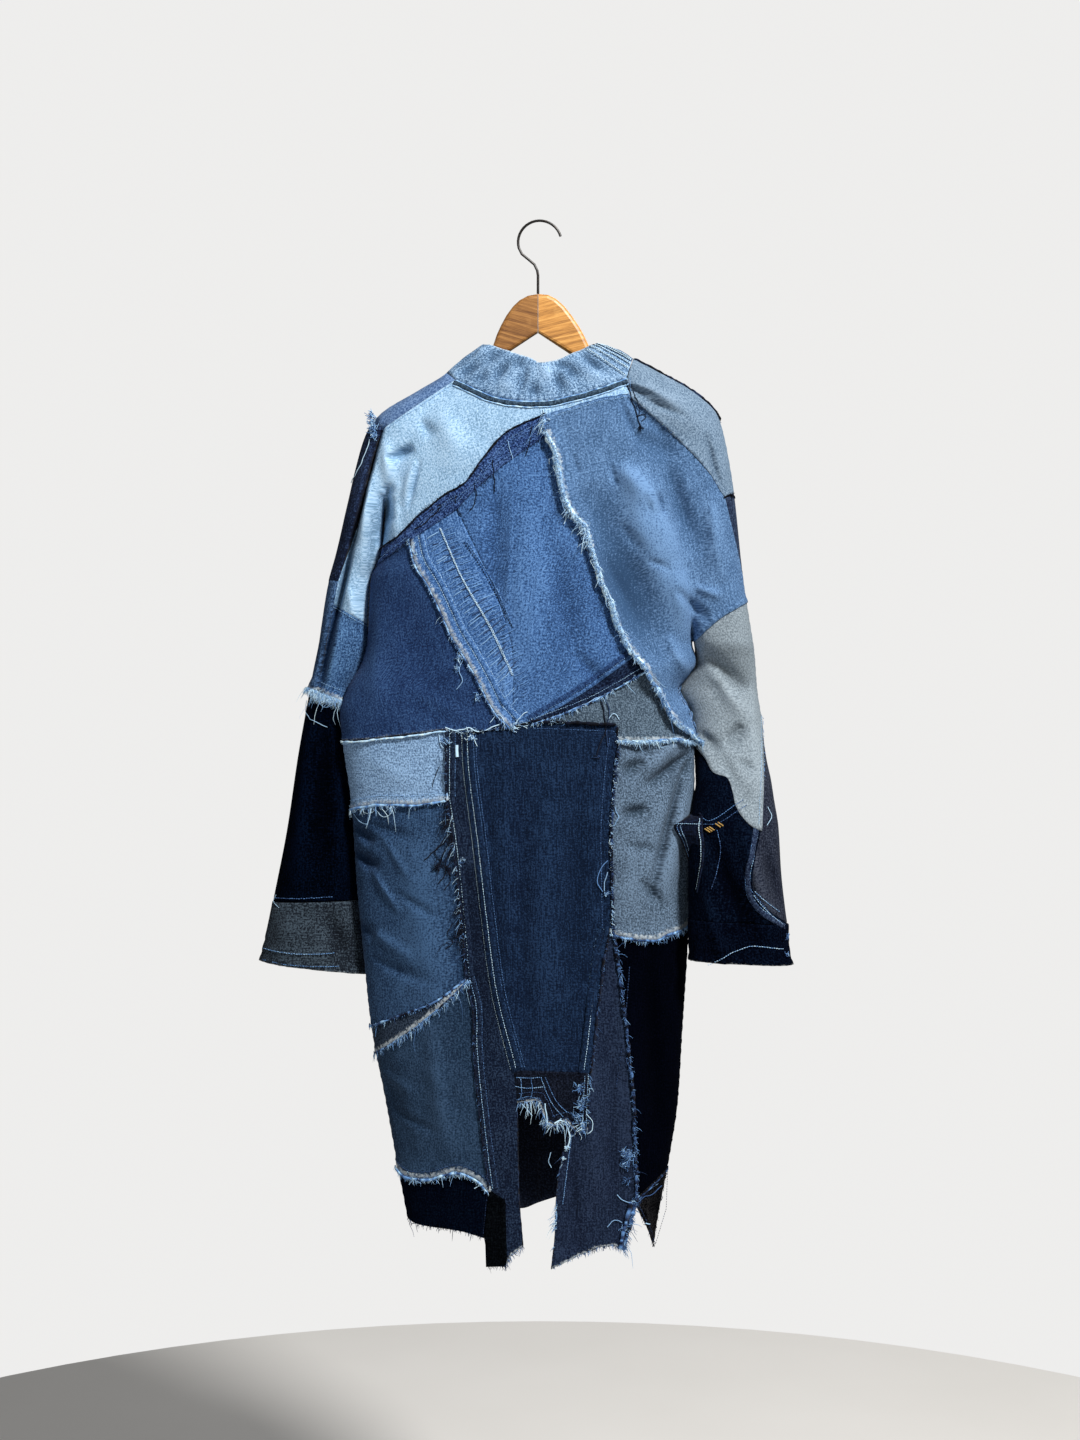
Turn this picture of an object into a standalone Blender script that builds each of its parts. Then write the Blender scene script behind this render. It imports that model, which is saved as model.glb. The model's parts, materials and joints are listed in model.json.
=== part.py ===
"""Patched denim jacket, coat length, hanging on a wooden hanger (metres, +Z up).

The back of the jacket faces -Y and its front +Y. The origin is the inner top of the
hanger's hook, where a rod or nail bears. The body and the two sleeves are soft tubes,
each given by a short table of sections; above the armpits they flow into one another.
Seams are named lines on that form, each cloth panel is the wall inside a ring of seams,
and neighbouring panels stop SEAM_GAP short of each other.
"""
import math

import bmesh
import bpy
import numpy as np
from mathutils import Vector
from mathutils.geometry import delaunay_2d_cdt

MM = 0.001
WALL = 1.6            # one layer of denim with its seam allowance, mm
COLLAR_WALL = 2.4     # two layers of denim, mm
SEAM_GAP = 0.3        # between neighbouring panels, mm
BACK_STEP = 27.0      # size of a facet on the back, mm
FRONT_STEP = 42.0     # size of a facet on the plain front, mm
SEAM_STEP = 26.0      # longest straight run along a seam as seen from the back, mm
LONGEST_STEP = 26.5   # and along its real course, mm
ROUNDNESS = 2.3       # power of the sections: 2 is an ellipse
BLEND = 26.0          # how softly body and sleeve flow together, mm
HOOK_RADIUS = 1.6
HOOK_BOW = 26.0
HANGER_THICK = 10.2
REST_LEFT, REST_RIGHT = 1.5, 2.2   # from the ridge of the cloth to each arm's top line
HOOK_SEAT = 0.3       # foot of the hook over the crown

# Sections of the body: height, left and right edge, depth of the back and of the front.
BODY = [
    # z      left   right  back  front
    (-160,   -90,    92,   34,   26),
    (-182,  -108,   136,   37,   29),
    (-205,  -144,   175,   41,   32),
    (-232,  -184,   203,   45,   34),
    (-256,  -198,   210,   48,   36),
    (-300,  -197,   210,   52,   38),
    (-340,  -187,   206,   55,   39),
    (-398,  -191,   198,   58,   40),
    (-430,  -204,   193,   59,   40),
    (-503,  -208,   180,   60,   40),
    (-527,  -214,   186,   60,   40),
    (-562,  -233,   166,   60,   39),
    (-590,  -241,   180,   60,   38),
    (-622,  -238,   184,   60,   38),
    (-702,  -227,   184,   60,   37),
    (-792,  -221,   180,   59,   36),
    (-886,  -212,   175,   57,   35),
    (-961,  -204,   170,   54,   33),
    (-1055, -186,   164,   50,   31),
    (-1132, -172,   152,   47,   29),
    (-1195, -160,   140,   45,   27),
    (-1262, -150,   130,   43,   26),
]

# Sections of a sleeve: height, outer and inner edge, depth of its back and of its
# front, and how far the sleeve stands in front of or behind the body.
LEFT_SLEEVE = [
    # z      outer  inner  back  front  middle
    (-160,   -96,   -60,   12,   10,     0),
    (-182,  -114,   -80,   16,   12,     0),
    (-205,  -150,  -105,   24,   18,     0),
    (-232,  -193,  -130,   30,   24,     0),
    (-256,  -210,  -145,   33,   27,     0),
    (-296,  -222,  -166,   34,   28,     0),
    (-340,  -232,  -187,   34,   28,     0),
    (-398,  -247,  -192,   33,   28,    12),
    (-430,  -256,  -205,   32,   28,    15),
    (-483,  -265,  -208,   31,   28,    17),
    (-503,  -268,  -206,   31,   28,    18),
    (-536,  -275,  -215,   31,   28,    21),
    (-568,  -281,  -232,   30,   28,    23),
    (-590,  -285,  -236,   30,   28,    23),
    (-641,  -294,  -231,   30,   28,    23),
    (-728,  -307,  -220,   31,   28,    23),
    (-810,  -323,  -214,   31,   28,    23),
    (-860,  -333,  -210,   31,   28,    23),
    (-888,  -338,  -207,   31,   28,    23),
    (-910,  -340,  -205,   31,   28,    23),
]
RIGHT_SLEEVE = [
    # z      outer  inner  back  front  middle
    (-160,   101,    62,   12,   10,     0),
    (-182,   143,    82,   18,   14,     0),
    (-205,   183,   105,   26,   20,     0),
    (-232,   211,   122,   32,   25,     0),
    (-256,   219,   130,   35,   28,     0),
    (-324,   231,   146,   36,   29,     0),
    (-426,   242,   168,   36,   30,     0),
    (-503,   254,   183,   34,   30,     0),
    (-527,   258,   186,   34,   30,    12),
    (-545,   260,   176,   34,   30,    20),
    (-562,   262,   164,   34,   30,    25),
    (-590,   266,   176,   34,   30,    24),
    (-622,   269,   182,   34,   30,    18),
    (-644,   271,   185,   33,   29,     7),
    (-670,   275,   185,   33,   28,    -8),
    (-690,   277,   184,   33,   27,   -18),
    (-725,   281,   181,   33,   27,   -32),
    (-770,   283,   178,   33,   26,   -37),
    (-844,   291,   178,   32,   26,   -36),
    (-888,   295,   179,   32,   26,   -34),
    (-930,   298,   196,   32,   26,   -32),
]
LEFT_ARMPIT = -340
RIGHT_ARMPIT = -503

# The largest folds: troughs (depth below 0) and ridges, each along a line on the back.
FOLDS = [
    # from x, z      to x, z      half width  height
    (100, -300,     178, -500,    24,     9),
    (60,  -330,     140, -520,    26,    -8),
    (-176, -300,   -150, -400,    16,    -7),
    (-150, -290,   -178, -330,    20,    -8),
    (178, -622,     120, -680,    16,     7),
    (165, -660,     128, -800,    18,     7),
    (150, -670,      90, -690,    14,    -7),
    (-150, -720,   -120, -960,    30,     6),
    (-90,  -760,    -80, -1000,   26,    -6),
    (-35,  -330,    -38, -880,    16,     3),
    (100, -900,     120, -1120,   26,     5),
]


def through(rows, column):
    """A column of a table as a monotone smooth function of height."""
    table = np.array(sorted(rows), float)
    z, value = table[:, 0], table[:, column]
    slope = np.diff(value) / np.diff(z)
    tangent = np.concatenate([slope[:1], np.zeros(len(z) - 2), slope[-1:]])
    same = slope[1:] * slope[:-1] > 0
    total = np.where(same, slope[1:] + slope[:-1], 1)
    tangent[1:-1] = np.where(same, 2 * slope[1:] * slope[:-1] / total, 0)

    def at(height):
        height = np.clip(height, z[0], z[-1])
        i = np.clip(np.searchsorted(z, height) - 1, 0, len(z) - 2)
        run = z[i + 1] - z[i]
        u = (height - z[i]) / run
        return (
            value[i] * (1 + 2 * u) * (1 - u) ** 2
            + tangent[i] * run * u * (1 - u) ** 2
            + value[i + 1] * u * u * (3 - 2 * u)
            + tangent[i + 1] * run * u * u * (u - 1)
        )

    return at


def still(height):
    return 0.0 * height


class Tube:
    """The body or a sleeve: edges and depths as functions of height."""

    def __init__(self, rows, swaps=False):
        first, second = through(rows, 1), through(rows, 2)
        self.low, self.high = (second, first) if swaps else (first, second)
        self.back, self.front = through(rows, 3), through(rows, 4)
        self.middle = through(rows, 5) if len(rows[0]) > 5 else still

    def sheet(self, x, z, front):
        """Where the cloth of the back or the front lies, in y."""
        bulge = self.bulge(x, z, front)
        return self.middle(z) + np.where(front, bulge, -bulge)

    def bulge(self, x, z, front):
        """Distance of the cloth from the tube's middle plane at x, z."""
        half = (self.high(z) - self.low(z)) / 2
        across = np.clip(np.abs(x - self.low(z) - half) / half, 0, 1)
        depth = np.where(front, self.front(z), self.back(z))
        return depth * (1 - across**ROUNDNESS) ** (1 / ROUNDNESS)


body = Tube(BODY)
left = Tube(LEFT_SLEEVE)
right = Tube(RIGHT_SLEEVE, swaps=True)


class Whole:
    """Body and sleeves in one sheet, for panels that run from one to the other."""

    low = staticmethod(left.low)
    high = staticmethod(right.high)

    @staticmethod
    def sheet(x, z, front):
        """As a tube's, and below an armpit the sleeve keeps its own middle."""
        in_left = x < (body.low(z) + left.high(z)) / 2
        in_right = x > (body.high(z) + right.low(z)) / 2
        middle = np.where(in_left, left.middle(z), np.where(in_right, right.middle(z), 0))
        bulge = Whole.bulge(x, z, front)
        return middle + np.where(front, bulge, -bulge)

    @staticmethod
    def bulge(x, z, front):
        total = body.bulge(x, z, front)
        for sleeve in (left, right):
            other = sleeve.bulge(x, z, front)
            both = np.minimum(total, other)
            soft = BLEND * both / (both + 8.0) + 0.01
            lift = np.clip(soft - np.abs(total - other), 0, None) ** 2 / (4 * soft)
            total = np.maximum(total, other) + lift
        return total


whole = Whole()


def folds_at(x, z):
    """Sum of the folds on the back at x, z, each fading towards its ends."""
    total = np.zeros(np.broadcast(x, z).shape)
    for x0, z0, x1, z1, half_width, height in FOLDS:
        run = np.array((x1 - x0, z1 - z0), float)
        length = np.hypot(*run)
        along = ((x - x0) * run[0] + (z - z0) * run[1]) / length**2
        off = ((x - x0) * run[1] - (z - z0) * run[0]) / length
        fade = np.clip(np.sin(math.pi * np.clip(along * 0.9 + 0.05, 0, 1)), 0, 1) ** 0.8
        total += height * fade * np.exp(-((off / half_width) ** 2))
    return total


def place(tube, turn, z):
    """A point of the form. turn is 0 at mid back, -1 and 1 at the edges, 2 at mid front."""
    low, high = tube.low(z), tube.high(z)
    x = (low + high) / 2 + (high - low) / 2 * np.sin(turn * math.pi / 2)
    front = np.abs(np.mod(turn + 2, 4) - 2) > 1
    at_back = np.where(front, 0, np.clip(tube.bulge(x, z, front) / 30, 0, 1))
    y = tube.sheet(x, z, front) - at_back * folds_at(x, z)
    return np.stack(np.broadcast_arrays(x, y, z), axis=-1)


def normal(tube, turn, z):
    """Outward direction of the form, from two short steps on it."""
    step = 0.02
    round_it = place(tube, turn + step, z) - place(tube, turn - step, z)
    down = place(tube, turn, z - 1.5) - place(tube, turn, z + 1.5)
    out = np.cross(down, round_it)
    return out / np.linalg.norm(out, axis=-1, keepdims=True)


def turn_of(tube, x, z, front, wrap):
    """Where x, z lies round the tube; wrap says by which edge a front point is reached."""
    low, high = tube.low(z), tube.high(z)
    across = np.clip((2 * x - low - high) / (high - low), -1, 1)
    turn = np.arcsin(across) * 2 / math.pi
    return np.where(front, 2 * wrap - turn, turn)


# ---- SEAMS
class Seam:
    """A run of points on the form, with the outward direction at each, shared by neighbours."""

    known = {}
    corner_directions = {}

    def __init__(self, name, tube, corners, front=False, edge=None):
        self.front, self.on_edge = front, bool(edge)
        stations = np.array(self.spaced(tube, corners, edge), float)
        turn, self.at = self.on_form(tube, stations, edge)
        while (far := np.linalg.norm(np.diff(self.at, axis=0), axis=1) > LONGEST_STEP).any():
            middle = (stations[1:] + stations[:-1])[far] / 2
            stations = np.insert(stations, np.flatnonzero(far) + 1, middle, axis=0)
            turn, self.at = self.on_form(tube, stations, edge)
        self.x, self.z = stations.T
        self.out = self.edge_direction(tube, edge) if edge else normal(tube, turn, self.z)
        for end in (0, -1):
            key = tuple(np.round(self.at[end]))
            self.out[end] = Seam.corner_directions.setdefault(key, self.out[end])
        Seam.known[name] = self

    def on_form(self, tube, stations, edge):
        x, z = stations.T
        turn = turn_of(tube, x, z, self.front, 1 if x.mean() > 0 else -1)
        if edge:
            turn = np.full(len(x), -1.0 if edge == "low" else 1.0)
        return turn, place(tube, turn, z)

    @staticmethod
    def spaced(tube, corners, edge):
        """The corners with points between them, SEAM_STEP apart at most."""
        if edge:
            top, bottom = corners
            count = max(1, math.ceil(abs(top - bottom) / SEAM_STEP))
            heights = np.linspace(top, bottom, count + 1)
            return [(float(getattr(tube, edge)(z)), z) for z in heights]
        stations = [corners[0]]
        for start, end in zip(corners, corners[1:]):
            count = max(1, math.ceil(math.dist(start, end) / SEAM_STEP))
            for i in range(1, count + 1):
                part = i / count
                stations.append((start[0] + (end[0] - start[0]) * part,
                                 start[1] + (end[1] - start[1]) * part))
        return stations

    def edge_direction(self, tube, edge):
        """Away from the tube, square to its edge and level with its middle plane."""
        curve = getattr(tube, edge)
        lean = (curve(self.z + 2) - curve(self.z - 2)) / 4
        side = -1.0 if edge == "low" else 1.0
        out = np.stack([np.full(len(lean), side), 0 * lean, -side * lean], axis=-1)
        return out / np.linalg.norm(out, axis=-1, keepdims=True)


def body_left(z):
    return float(body.low(z)), z


def body_right(z):
    return float(body.high(z)), z


def left_outer(z):
    return float(left.low(z)), z


def left_inner(z):
    return float(left.high(z)), z


def right_outer(z):
    return float(right.high(z)), z


def right_inner(z):
    return float(right.low(z)), z


# Landmarks where three or more panels meet, as x, z on the back.
NECK_LEFT, NECK_RIGHT, NECK_CORNER = (-102, -194), (102, -193), (104, -213)
RIDGE_LEFT, RIDGE_RIGHT = left_outer(-182), right_outer(-165)
SHOULDER_LEFT = (-187, -253)
TIP_LEFT, TIP_RIGHT = left_outer(-240), right_outer(-240)
ARMPIT_L, ARMPIT_R = left_inner(LEFT_ARMPIT), right_inner(RIGHT_ARMPIT)
BAND_TOP, BAND_LOW = (7, -240), (9, -259)
BAND_END_TOP, BAND_END_LOW = body_left(-397), body_left(-411)
LADDER_A, LADDER_B, LADDER_FOOT = (-153, -382), (-100, -348), (-34, -606)
STRIP_A, STRIP_B, STRIP_TIP = (109, -521), (124, -536), (-13, -601)
WAIST_LEFT, WAIST_RIGHT = body_left(-623), body_right(-620)
WAIST_1, WAIST_2, WAIST_3, WAIST_4 = (-110, -610), (-90, -613), (89, -605), (89, -620)
PATCH_LEFT, PATCH_FOOT = body_left(-701), (-110, -689)
WEDGE_TOP, WEDGE_LOW, WEDGE_TIP = body_left(-962), body_left(-993), (-87, -901)
HEM_START, HEM_FOOT, HEM_TAB = body_left(-1128), body_left(-1193), (-66, -1209)
TAB_TOP_L, TAB_TOP_R, TAB_FOOT_L, TAB_FOOT_R = (-60, -1151), (-44, -1163), (-65, -1243), (-42, -1242)
BAND_LEFT, BAND_RIGHT, BAND_FOOT_L, BAND_FOOT_R = (-32, -1010), (58, -1013), (-28, -1048), (55, -1079)
APEX = (81, -845)
CHAMBRAY_RIGHT, BLACK_RIGHT, BLACK_FOOT = body_right(-830), body_right(-1133), (110, -1168)
SLEEVE_SEAM_TOP, SLEEVE_SEAM_MID, SLEEVE_SEAM_LOW = (-242, -432), (-248, -460), (-268, -560.2)
NAVY_TOP, NAVY_IN = right_outer(-326), (218, -333)
GREY_A, GREY_B, GREY_TIP = right_outer(-456), right_outer(-593), (257, -726)
CUFF_R_OUT, CUFF_R_IN = right_outer(-838), right_inner(-832)
NECK_FRONT, HEM_FRONT = (4, -262), (-3, -1183)


def lay_seams():
    """Every seam and edge of the garment, by name."""
    x, z = ARMPIT_L
    Seam.corner_directions[tuple(np.round((x, 0.0, z)))] = np.array((0.0, 0.0, -1.0))
    # Neck and shoulders
    Seam("neck_back", whole, [NECK_LEFT, (-53, -217), (-1, -222), (42, -214), (77, -203), NECK_RIGHT])
    Seam("neck_corner", whole, [NECK_RIGHT, NECK_CORNER])
    Seam("neck_left", whole, [RIDGE_LEFT, NECK_LEFT])
    Seam("neck_right", whole, [NECK_RIGHT, RIDGE_RIGHT])
    Seam("neck_front_left", whole, [RIDGE_LEFT, (-84, -222), (-44, -249), NECK_FRONT], front=True)
    Seam("neck_front_right", whole, [NECK_FRONT, (50, -248), (88, -215), RIDGE_RIGHT], front=True)
    Seam("shoulder_left", whole, [NECK_LEFT, SHOULDER_LEFT])
    Seam("shoulder_left_end", whole, [SHOULDER_LEFT, TIP_LEFT])
    Seam("shoulder_right", whole, (-165, -240), edge="high")
    Seam("sleeve_right_over", whole, (-240, -326), edge="high")
    Seam("armhole_left", whole, [TIP_LEFT, (-178, -285), ARMPIT_L], front=True)
    # Upper back
    Seam("yoke_over", whole, [NECK_CORNER, (58, -223), BAND_TOP])
    Seam("band_top", body, [BAND_TOP, (-42, -265), (-87, -321), (-143, -360), BAND_END_TOP])
    Seam("band_end", body, (-397, -411), edge="low")
    Seam("band_right", body, [BAND_TOP, BAND_LOW])
    Seam("band_low_centre", body, [BAND_LOW, (-55, -304), LADDER_B])
    Seam("band_low_ladder", body, [LADDER_B, LADDER_A])
    Seam("band_low_left", body, [LADDER_A, BAND_END_LOW])
    Seam("ladder_left", body, [LADDER_A, (-129, -441), (-87, -523), LADDER_FOOT])
    Seam("ladder_right", body, [LADDER_B, (-54, -448), (-34, -516), LADDER_FOOT])
    Seam("fray_upper", body, [BAND_LOW, (26, -321), (52, -371), (70, -436), STRIP_A])
    Seam("fray_strip", body, [STRIP_A, STRIP_B])
    Seam("fray_lower", body, [STRIP_B, (162, -601), WAIST_RIGHT])
    Seam("strip_top", body, [STRIP_A, (52, -562), STRIP_TIP])
    Seam("strip_low", body, [STRIP_B, (60, -573), STRIP_TIP])
    Seam("side_upper_left", body, (-411, -623), edge="low")
    Seam("armpit_left_body", body, (LEFT_ARMPIT, -397), edge="low")
    Seam("armpit_left_sleeve", left, (LEFT_ARMPIT, -430), edge="high")
    Seam("sleeve_left_inner_yoke", left, (-430, -483), edge="high")
    Seam("shoulder_curve", whole, [NECK_CORNER, (126, -232), (172, -275), (199, -304), NAVY_IN])
    Seam("navy_top", whole, [NAVY_IN, NAVY_TOP])
    Seam("navy_side", whole, [NAVY_IN, (222, -349), right_outer(-427)])
    Seam("sleeve_right_short", whole, (-427, -456), edge="high")
    Seam("grey_top", right, [GREY_A, (210, -478), ARMPIT_R])
    Seam("side_upper_right", body, (RIGHT_ARMPIT, -620), edge="high")
    Seam("grey_inner", right, (RIGHT_ARMPIT, -623), edge="low")
    Seam("armhole_right", whole, [TIP_RIGHT, (188, -320), (176, -420), ARMPIT_R], front=True)
    Seam("armpit_step", whole, [ARMPIT_R, body_right(RIGHT_ARMPIT)])
    # Waist and skirt
    Seam("waist_left", body, [WAIST_LEFT, WAIST_1])
    Seam("waist_strip", body, [WAIST_1, WAIST_2])
    Seam("waist_indigo", body, [WAIST_2, LADDER_FOOT])
    Seam("waist_centre", body, [LADDER_FOOT, STRIP_TIP])
    Seam("waist_chambray", body, [STRIP_TIP, WAIST_3])
    Seam("waist_step", body, [WAIST_3, WAIST_4])
    Seam("waist_right", body, [WAIST_4, WAIST_RIGHT])
    Seam("patch_side", body, (-623, -701), edge="low")
    Seam("patch_foot", body, [PATCH_LEFT, PATCH_FOOT])
    Seam("patch_right", body, [WAIST_1, PATCH_FOOT])
    Seam("strip_left_a", body, [PATCH_FOOT, (-102, -743), WEDGE_TIP])
    Seam("strip_left_b", body, [WEDGE_TIP, (-78, -982), TAB_TOP_L])
    Seam("side_left", body, (-701, -962), edge="low")
    Seam("wedge_top", body, [WEDGE_TOP, (-136, -933), WEDGE_TIP])
    Seam("wedge_low", body, [WEDGE_LOW, (-145, -955), WEDGE_TIP])
    Seam("wedge_side", body, (-962, -993), edge="low")
    Seam("side_left_low", body, (-993, -1128), edge="low")
    Seam("hem_top", body, [HEM_START, (-130, -1136), (-98, -1127), TAB_TOP_L])
    Seam("hem_side", body, (-1128, -1180), edge="low")
    Seam("hem_side_free", body, (-1180, -1193), edge="low")
    Seam("hem_left", body, [HEM_FOOT, (-98, -1201), HEM_TAB])
    Seam("tab_left", body, [TAB_TOP_L, HEM_TAB])
    Seam("tab_left_free", body, [HEM_TAB, TAB_FOOT_L])
    Seam("tab_top", body, [TAB_TOP_L, TAB_TOP_R])
    Seam("tab_foot", body, [TAB_FOOT_L, TAB_FOOT_R])
    Seam("tab_right", body, [TAB_TOP_R, TAB_FOOT_R])
    Seam("twill_foot", body, [TAB_FOOT_R, (-34, -1228), (-21, -1218)])
    Seam("twill_free", body, [(-21, -1218), (-26, -1160), BAND_FOOT_L])
    Seam("strip_right", body, [WAIST_2, (-78, -737), (-55, -919), BAND_LEFT])
    Seam("band_left", body, [BAND_LEFT, BAND_FOOT_L])
    Seam("pocket_band_top", body, [BAND_LEFT, BAND_RIGHT])
    Seam("pocket_band_right", body, [BAND_RIGHT, BAND_FOOT_R])
    Seam("pocket_band_low", body, [BAND_FOOT_R, (16, -1073), (-4, -1047), BAND_FOOT_L])
    Seam("centre_right", body, [WAIST_4, (79, -729), APEX])
    Seam("centre_right_low", body, [APEX, (74, -879), BAND_RIGHT])
    Seam("chambray_side", body, (-620, -830), edge="high")
    Seam("chambray_foot", body, [APEX, (132, -854), CHAMBRAY_RIGHT])
    Seam("black_left", body, [APEX, (90, -903), (104, -1033), BLACK_FOOT])
    Seam("black_side", body, (-830, -1133), edge="high")
    Seam("black_foot", body, [BLACK_FOOT, BLACK_RIGHT])
    Seam("tip_edge", body, [BLACK_FOOT, (128, -1205), (136, -1230), (150, -1184), BLACK_RIGHT])
    Seam("lower_right_free", body, [BLACK_FOOT, (97, -1225)])
    Seam("lower_foot", body, [(97, -1225), (67, -1221), (12, -1245)])
    Seam("lower_left_free", body, [(12, -1245), (20, -1135), (34, -1081), BAND_FOOT_R])
    # Sleeves
    Seam("sleeve_left_seam", whole, [SHOULDER_LEFT, (-198, -274), (-220, -355), SLEEVE_SEAM_TOP])
    Seam("sleeve_left_seam_mid", left, [SLEEVE_SEAM_TOP, SLEEVE_SEAM_MID])
    Seam("sleeve_left_seam_low", left, [SLEEVE_SEAM_MID, SLEEVE_SEAM_LOW])
    Seam("yoke_sleeve_foot", left, [SLEEVE_SEAM_MID, left_inner(-483)])
    Seam("sleeve_left_cross_back", left, [SLEEVE_SEAM_TOP, left_outer(-430)])
    Seam("sleeve_left_cross_front", left, [left_outer(-430), left_inner(-430)], front=True)
    Seam("mid_sleeve_inner", left, (-483, -574), edge="high")
    Seam("mid_sleeve_foot", left, [SLEEVE_SEAM_LOW, left_inner(-574)])
    Seam("mid_sleeve_foot_back", left, [SLEEVE_SEAM_LOW, left_outer(-556)])
    Seam("mid_sleeve_foot_front", left, [left_outer(-556), left_inner(-574)], front=True)
    Seam("grey_low", right, [right_inner(-623), (204, -658), (220, -665), (231, -700), GREY_TIP])
    Seam("grey_right", right, [GREY_TIP, (265, -632), GREY_B])
    Seam("grey_side_top", right, (-456, RIGHT_ARMPIT), edge="high")
    Seam("grey_side", right, (RIGHT_ARMPIT, -593), edge="high")
    Seam("dark_inner", right, (-623, -832), edge="low")
    Seam("dark_outer", right, [GREY_TIP, (248, -799), CUFF_R_OUT])
    Seam("cuff_right_back", right, [CUFF_R_IN, CUFF_R_OUT])
    Seam("cuff_right_front", right, [CUFF_R_IN, CUFF_R_OUT], front=True)
    Seam("sleeve_right_cross", right, [right_outer(RIGHT_ARMPIT), ARMPIT_R], front=True)
    # Fronts
    Seam("centre_front", body, [NECK_FRONT, HEM_FRONT], front=True)
    Seam("hem_front_left", body, [HEM_FRONT, (-24, -1190), body_left(-1180)], front=True)
    Seam("hem_front_right", body, [HEM_FRONT, (18, -1176), BLACK_RIGHT], front=True)


# Panels: the sheet each lies on, the edge that a front point is reached by, and its seams.
PANELS = {
    "yoke_left": (whole, -1, """neck_back neck_corner yoke_over band_top armpit_left_body
        armpit_left_sleeve sleeve_left_inner_yoke yoke_sleeve_foot sleeve_left_seam_mid
        sleeve_left_seam shoulder_left"""),
    "waistband_strip": (body, -1, """band_top band_end band_low_left band_low_ladder
        band_low_centre band_right"""),
    "centre_upper": (body, 1, """band_low_centre fray_upper strip_top waist_centre ladder_right"""),
    "ladder_strip": (body, -1, "band_low_ladder ladder_left ladder_right"),
    "indigo_left": (body, -1, """band_low_left side_upper_left waist_left waist_strip
        waist_indigo ladder_left"""),
    "centre_seam_strip": (body, 1, "strip_top fray_strip strip_low"),
    "upper_right": (whole, 1, """yoke_over shoulder_curve navy_side sleeve_right_short grey_top
        armpit_step side_upper_right fray_lower fray_strip fray_upper band_right"""),
    "shoulder_right": (whole, 1, """neck_corner neck_right shoulder_right sleeve_right_over
        navy_top shoulder_curve"""),
    "waist_chambray": (body, 1, "strip_low fray_lower waist_right waist_step waist_chambray"),
    "waist_patch": (body, -1, "waist_left patch_right patch_foot patch_side"),
    "skirt_left": (body, -1, "patch_foot strip_left_a wedge_top side_left"),
    "wedge_strip": (body, -1, "wedge_top wedge_low wedge_side"),
    "skirt_left_low": (body, -1, "wedge_low strip_left_b hem_top side_left_low"),
    "hem_left": (body, -1, "hem_top tab_left hem_left hem_side_free hem_side"),
    "hem_tab": (body, -1, "tab_top tab_right tab_foot tab_left_free tab_left"),
    "side_strip": (body, -1, """waist_strip patch_right strip_left_a strip_left_b tab_top
        tab_right twill_foot twill_free band_left strip_right"""),
    "centre_lower": (body, 1, """waist_indigo waist_centre waist_chambray waist_step
        centre_right centre_right_low pocket_band_top strip_right"""),
    "pocket_band": (body, 1, "pocket_band_top pocket_band_right pocket_band_low band_left"),
    "chambray_right": (body, 1, "waist_right chambray_side chambray_foot centre_right"),
    "lower_right": (body, 1, """centre_right_low pocket_band_right lower_left_free lower_foot
        lower_right_free black_left"""),
    "black_right": (body, 1, "chambray_foot black_side black_foot black_left"),
    "black_tip": (body, 1, "black_foot tip_edge"),
    "sleeve_left_mid": (left, -1, """yoke_sleeve_foot mid_sleeve_inner mid_sleeve_foot
        sleeve_left_seam_low"""),
    "grey_sleeve": (right, 1, "grey_top grey_inner grey_low grey_right grey_side grey_side_top"),
    "sleeve_right_dark": (right, 1, "grey_low dark_outer cuff_right_back dark_inner"),
    "sleeve_left_front": (whole, -1, """shoulder_left_end sleeve_left_seam sleeve_left_cross_back
        sleeve_left_cross_front armpit_left_sleeve armhole_left"""),
    "sleeve_left_front_mid": (left, -1, """sleeve_left_cross_back sleeve_left_seam_mid
        sleeve_left_seam_low mid_sleeve_foot_back mid_sleeve_foot_front mid_sleeve_inner
        sleeve_left_inner_yoke sleeve_left_cross_front"""),
    "sleeve_right_front": (whole, 1, """sleeve_right_over navy_top navy_side sleeve_right_short
        grey_side_top sleeve_right_cross armhole_right"""),
    "sleeve_right_front_low": (right, 1, """sleeve_right_cross grey_side grey_right dark_outer
        cuff_right_front dark_inner grey_inner"""),
    "front_left": (whole, -1, """neck_left shoulder_left shoulder_left_end armhole_left
        armpit_left_body band_end side_upper_left patch_side side_left wedge_side
        side_left_low hem_side hem_front_left centre_front neck_front_left"""),
    "front_right": (whole, 1, """neck_front_right shoulder_right armhole_right armpit_step
        side_upper_right chambray_side black_side hem_front_right centre_front"""),
}


def chain(names):
    """The seams end to end as one closed outline: points, outward directions, x, z, front."""
    seams = [Seam.known[name] for name in names.split()]
    on_front = any(seam.front for seam in seams)
    rows = []
    following = seams[1].at[[0, -1]]
    end = min(seams[0].at[[-1, 0]], key=lambda p: np.linalg.norm(following - p, axis=1).min())
    end = seams[0].at[0] if np.allclose(end, seams[0].at[-1]) else seams[0].at[-1]
    for seam in seams:
        forward = np.linalg.norm(seam.at[0] - end) <= np.linalg.norm(seam.at[-1] - end)
        order = slice(None, None, 1 if forward else -1)
        end = seam.at[order][-1]
        for at, out, x, z in list(zip(seam.at, seam.out, seam.x, seam.z))[order][:-1]:
            rows.append((at, out, x, z, on_front if seam.on_edge else seam.front))
    return [np.array(column) for column in zip(*rows)]


def inside(polygon, points):
    """Which points lie in the polygon, by counting crossings."""
    x, y = points.T
    result = np.zeros(len(points), bool)
    for (x0, y0), (x1, y1) in zip(polygon, np.roll(polygon, -1, axis=0)):
        crosses = (y0 > y) != (y1 > y)
        where = (x1 - x0) * (y - y0) / (y1 - y0 if y1 != y0 else 1) + x0
        result ^= crosses & (x < where)
    return result


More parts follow.
